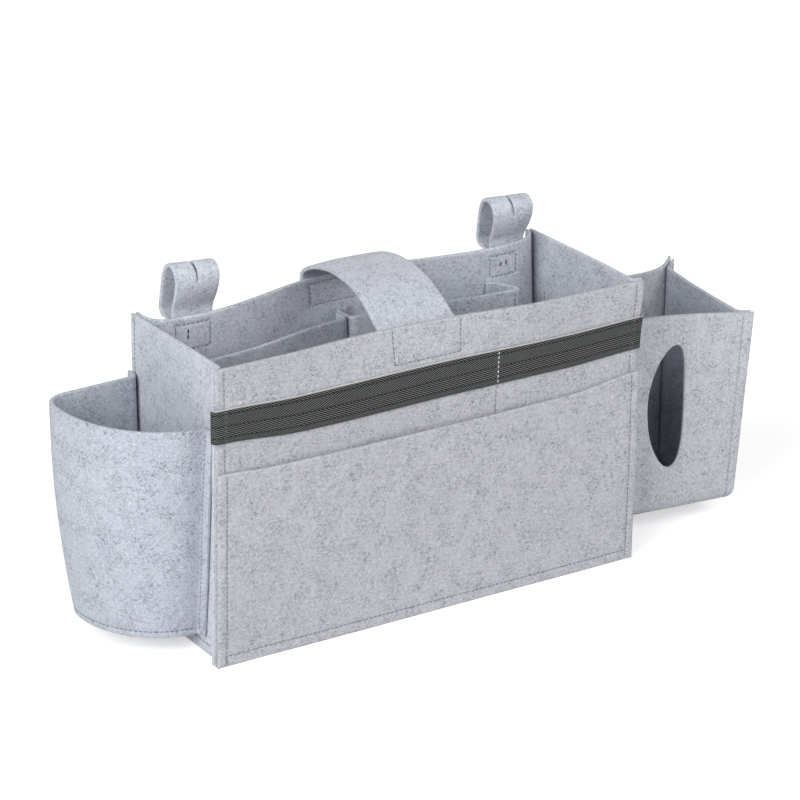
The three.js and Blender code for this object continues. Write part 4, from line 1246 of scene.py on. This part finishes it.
# rings from the opening left in the grid to the oval
s, t = flat.T
ringOuter = list(np.flatnonzero((t == t0) & (s >= s0) & (s < s1)))
ringOuter += list(np.flatnonzero((s == s1) & (t >= t0) & (t < t1)))
ringOuter += list(np.flatnonzero((t == t1) & (s > s0) & (s <= s1)))[::-1]
ringOuter += list(np.flatnonzero((s == s0) & (t > t0) & (t <= t1)))[::-1]
outer, ovalCentre = flat[ringOuter], around[:-1].mean(axis=0)


def turnOf(points):  # angle about the oval's middle, evened for the opening's shape
    away = (points - ovalCentre)/(s1 - s0, t1 - t0)
    return np.mod(np.arctan2(away[:, 1], away[:, 0]), 2*math.pi)


order = np.argsort(turnOf(around[:-1]))
known, spots = turnOf(around[:-1])[order], around[:-1][order]
inner = np.column_stack([np.interp(turnOf(outer), known, spots[:, k], period=2*math.pi) for k in (0, 1)])
apart = np.linalg.norm(inner - outer, axis=1)[:, None]
rings = [mix(outer, inner, share) for share in tissue["ringShares"]]
rings += [mix(outer, inner, np.clip(1 - short/apart, tissue["ringLeast"], 1)) for short in tissue["ringEdge"]]
previous = ringOuter
for ring in rings:
    ids = list(range(len(flat), len(flat) + len(ring)))
    flat = np.concatenate([flat, ring])
    for i in range(len(ids)):
        k = (i + 1) % len(ids)
        faces.append((previous[i], previous[k], ids[k], ids[i]))
    previous = ids
wrapRuns = [level(t, inset, wrapLong - inset) for t in (finSeam, tissue["innerSeam"])]
foot, end, top, start = frameLines(0, wrapLong, 0, wrapWide)
sheet = feltPiece("tissueWrapFelt", wrapSurface, flat, faces, feltPaintedLighter,
                  [start, end, foot, around], wrapRuns, [top])
place(sheet, ["tissue_pocket_wrap"])
sew("tissueWrapThread", sheet, 1, wrapRuns, softThread)

# Outer side: the fin beside the wrap's end, a bend, then the wall in rings that close on its middle line

tissueSide = {"finShort": 1.6, "turn": 3.1, "wall": 4.2, "middle": 38.0, "seam": 6.0, "seamInset": 3.0,
              "flat": (8.0, 150.0), "cells": (4.0, 3.2)}
finFoot = tissue["width"] - tissue["fin"] + tissueSide["finShort"]
section = [(tissue["width"] - q, ply) for q in np.linspace(0, tissue["fin"] - tissueSide["finShort"], 5)]
for a in np.linspace(0.2, math.pi/2, 6):
    section.append((finFoot - tissueSide["turn"]*math.sin(a), ply + tissueSide["turn"]*(1 - math.cos(a))))
wallOut = section[-1][0]
section += [(wallOut, q) for q in np.linspace(ply + tissueSide["wall"], tissueSide["middle"], 14)]
sideKeys = runAlong(np.array(section))
sideRows = [tissuePlace(out, *tissueProfile(inward, fineness["side"])) for out, inward in section]
sideLong, sideTop = lengthOf(sideRows[0]), sideKeys[-1]
surface = tableSurface(sideKeys, np.stack(sideRows), sideLong)
half = lines(0, sideLong/2, (), tissueSide["cells"][0])[:-3]
sLines = np.concatenate([half, [sideLong/2], sideLong - half[::-1]])
tLines = np.append(lines(0, sideTop, [tissueSide["seam"]], tissueSide["cells"][1])[:-3], sideTop)
flat, faces = gridOf(sLines, tLines)
foot, end, top, start = frameLines(0, sideLong, 0, sideTop)
sheet = feltPiece("tissueSideFelt", surface, flat, faces, feltPaintedCoolLight, [start, end],
                  [level(tissueSide["seam"], 0, sideLong)], [foot], weld=True)
place(sheet, ["tissue_pocket_side"])
sideRun = level(tissueSide["seam"], tissueSide["seamInset"], sideLong - tissueSide["seamInset"])
sew("tissueSideThread", sheet, 1, [sideRun], greyThreadPaintedShade)
print("tissue pocket made")
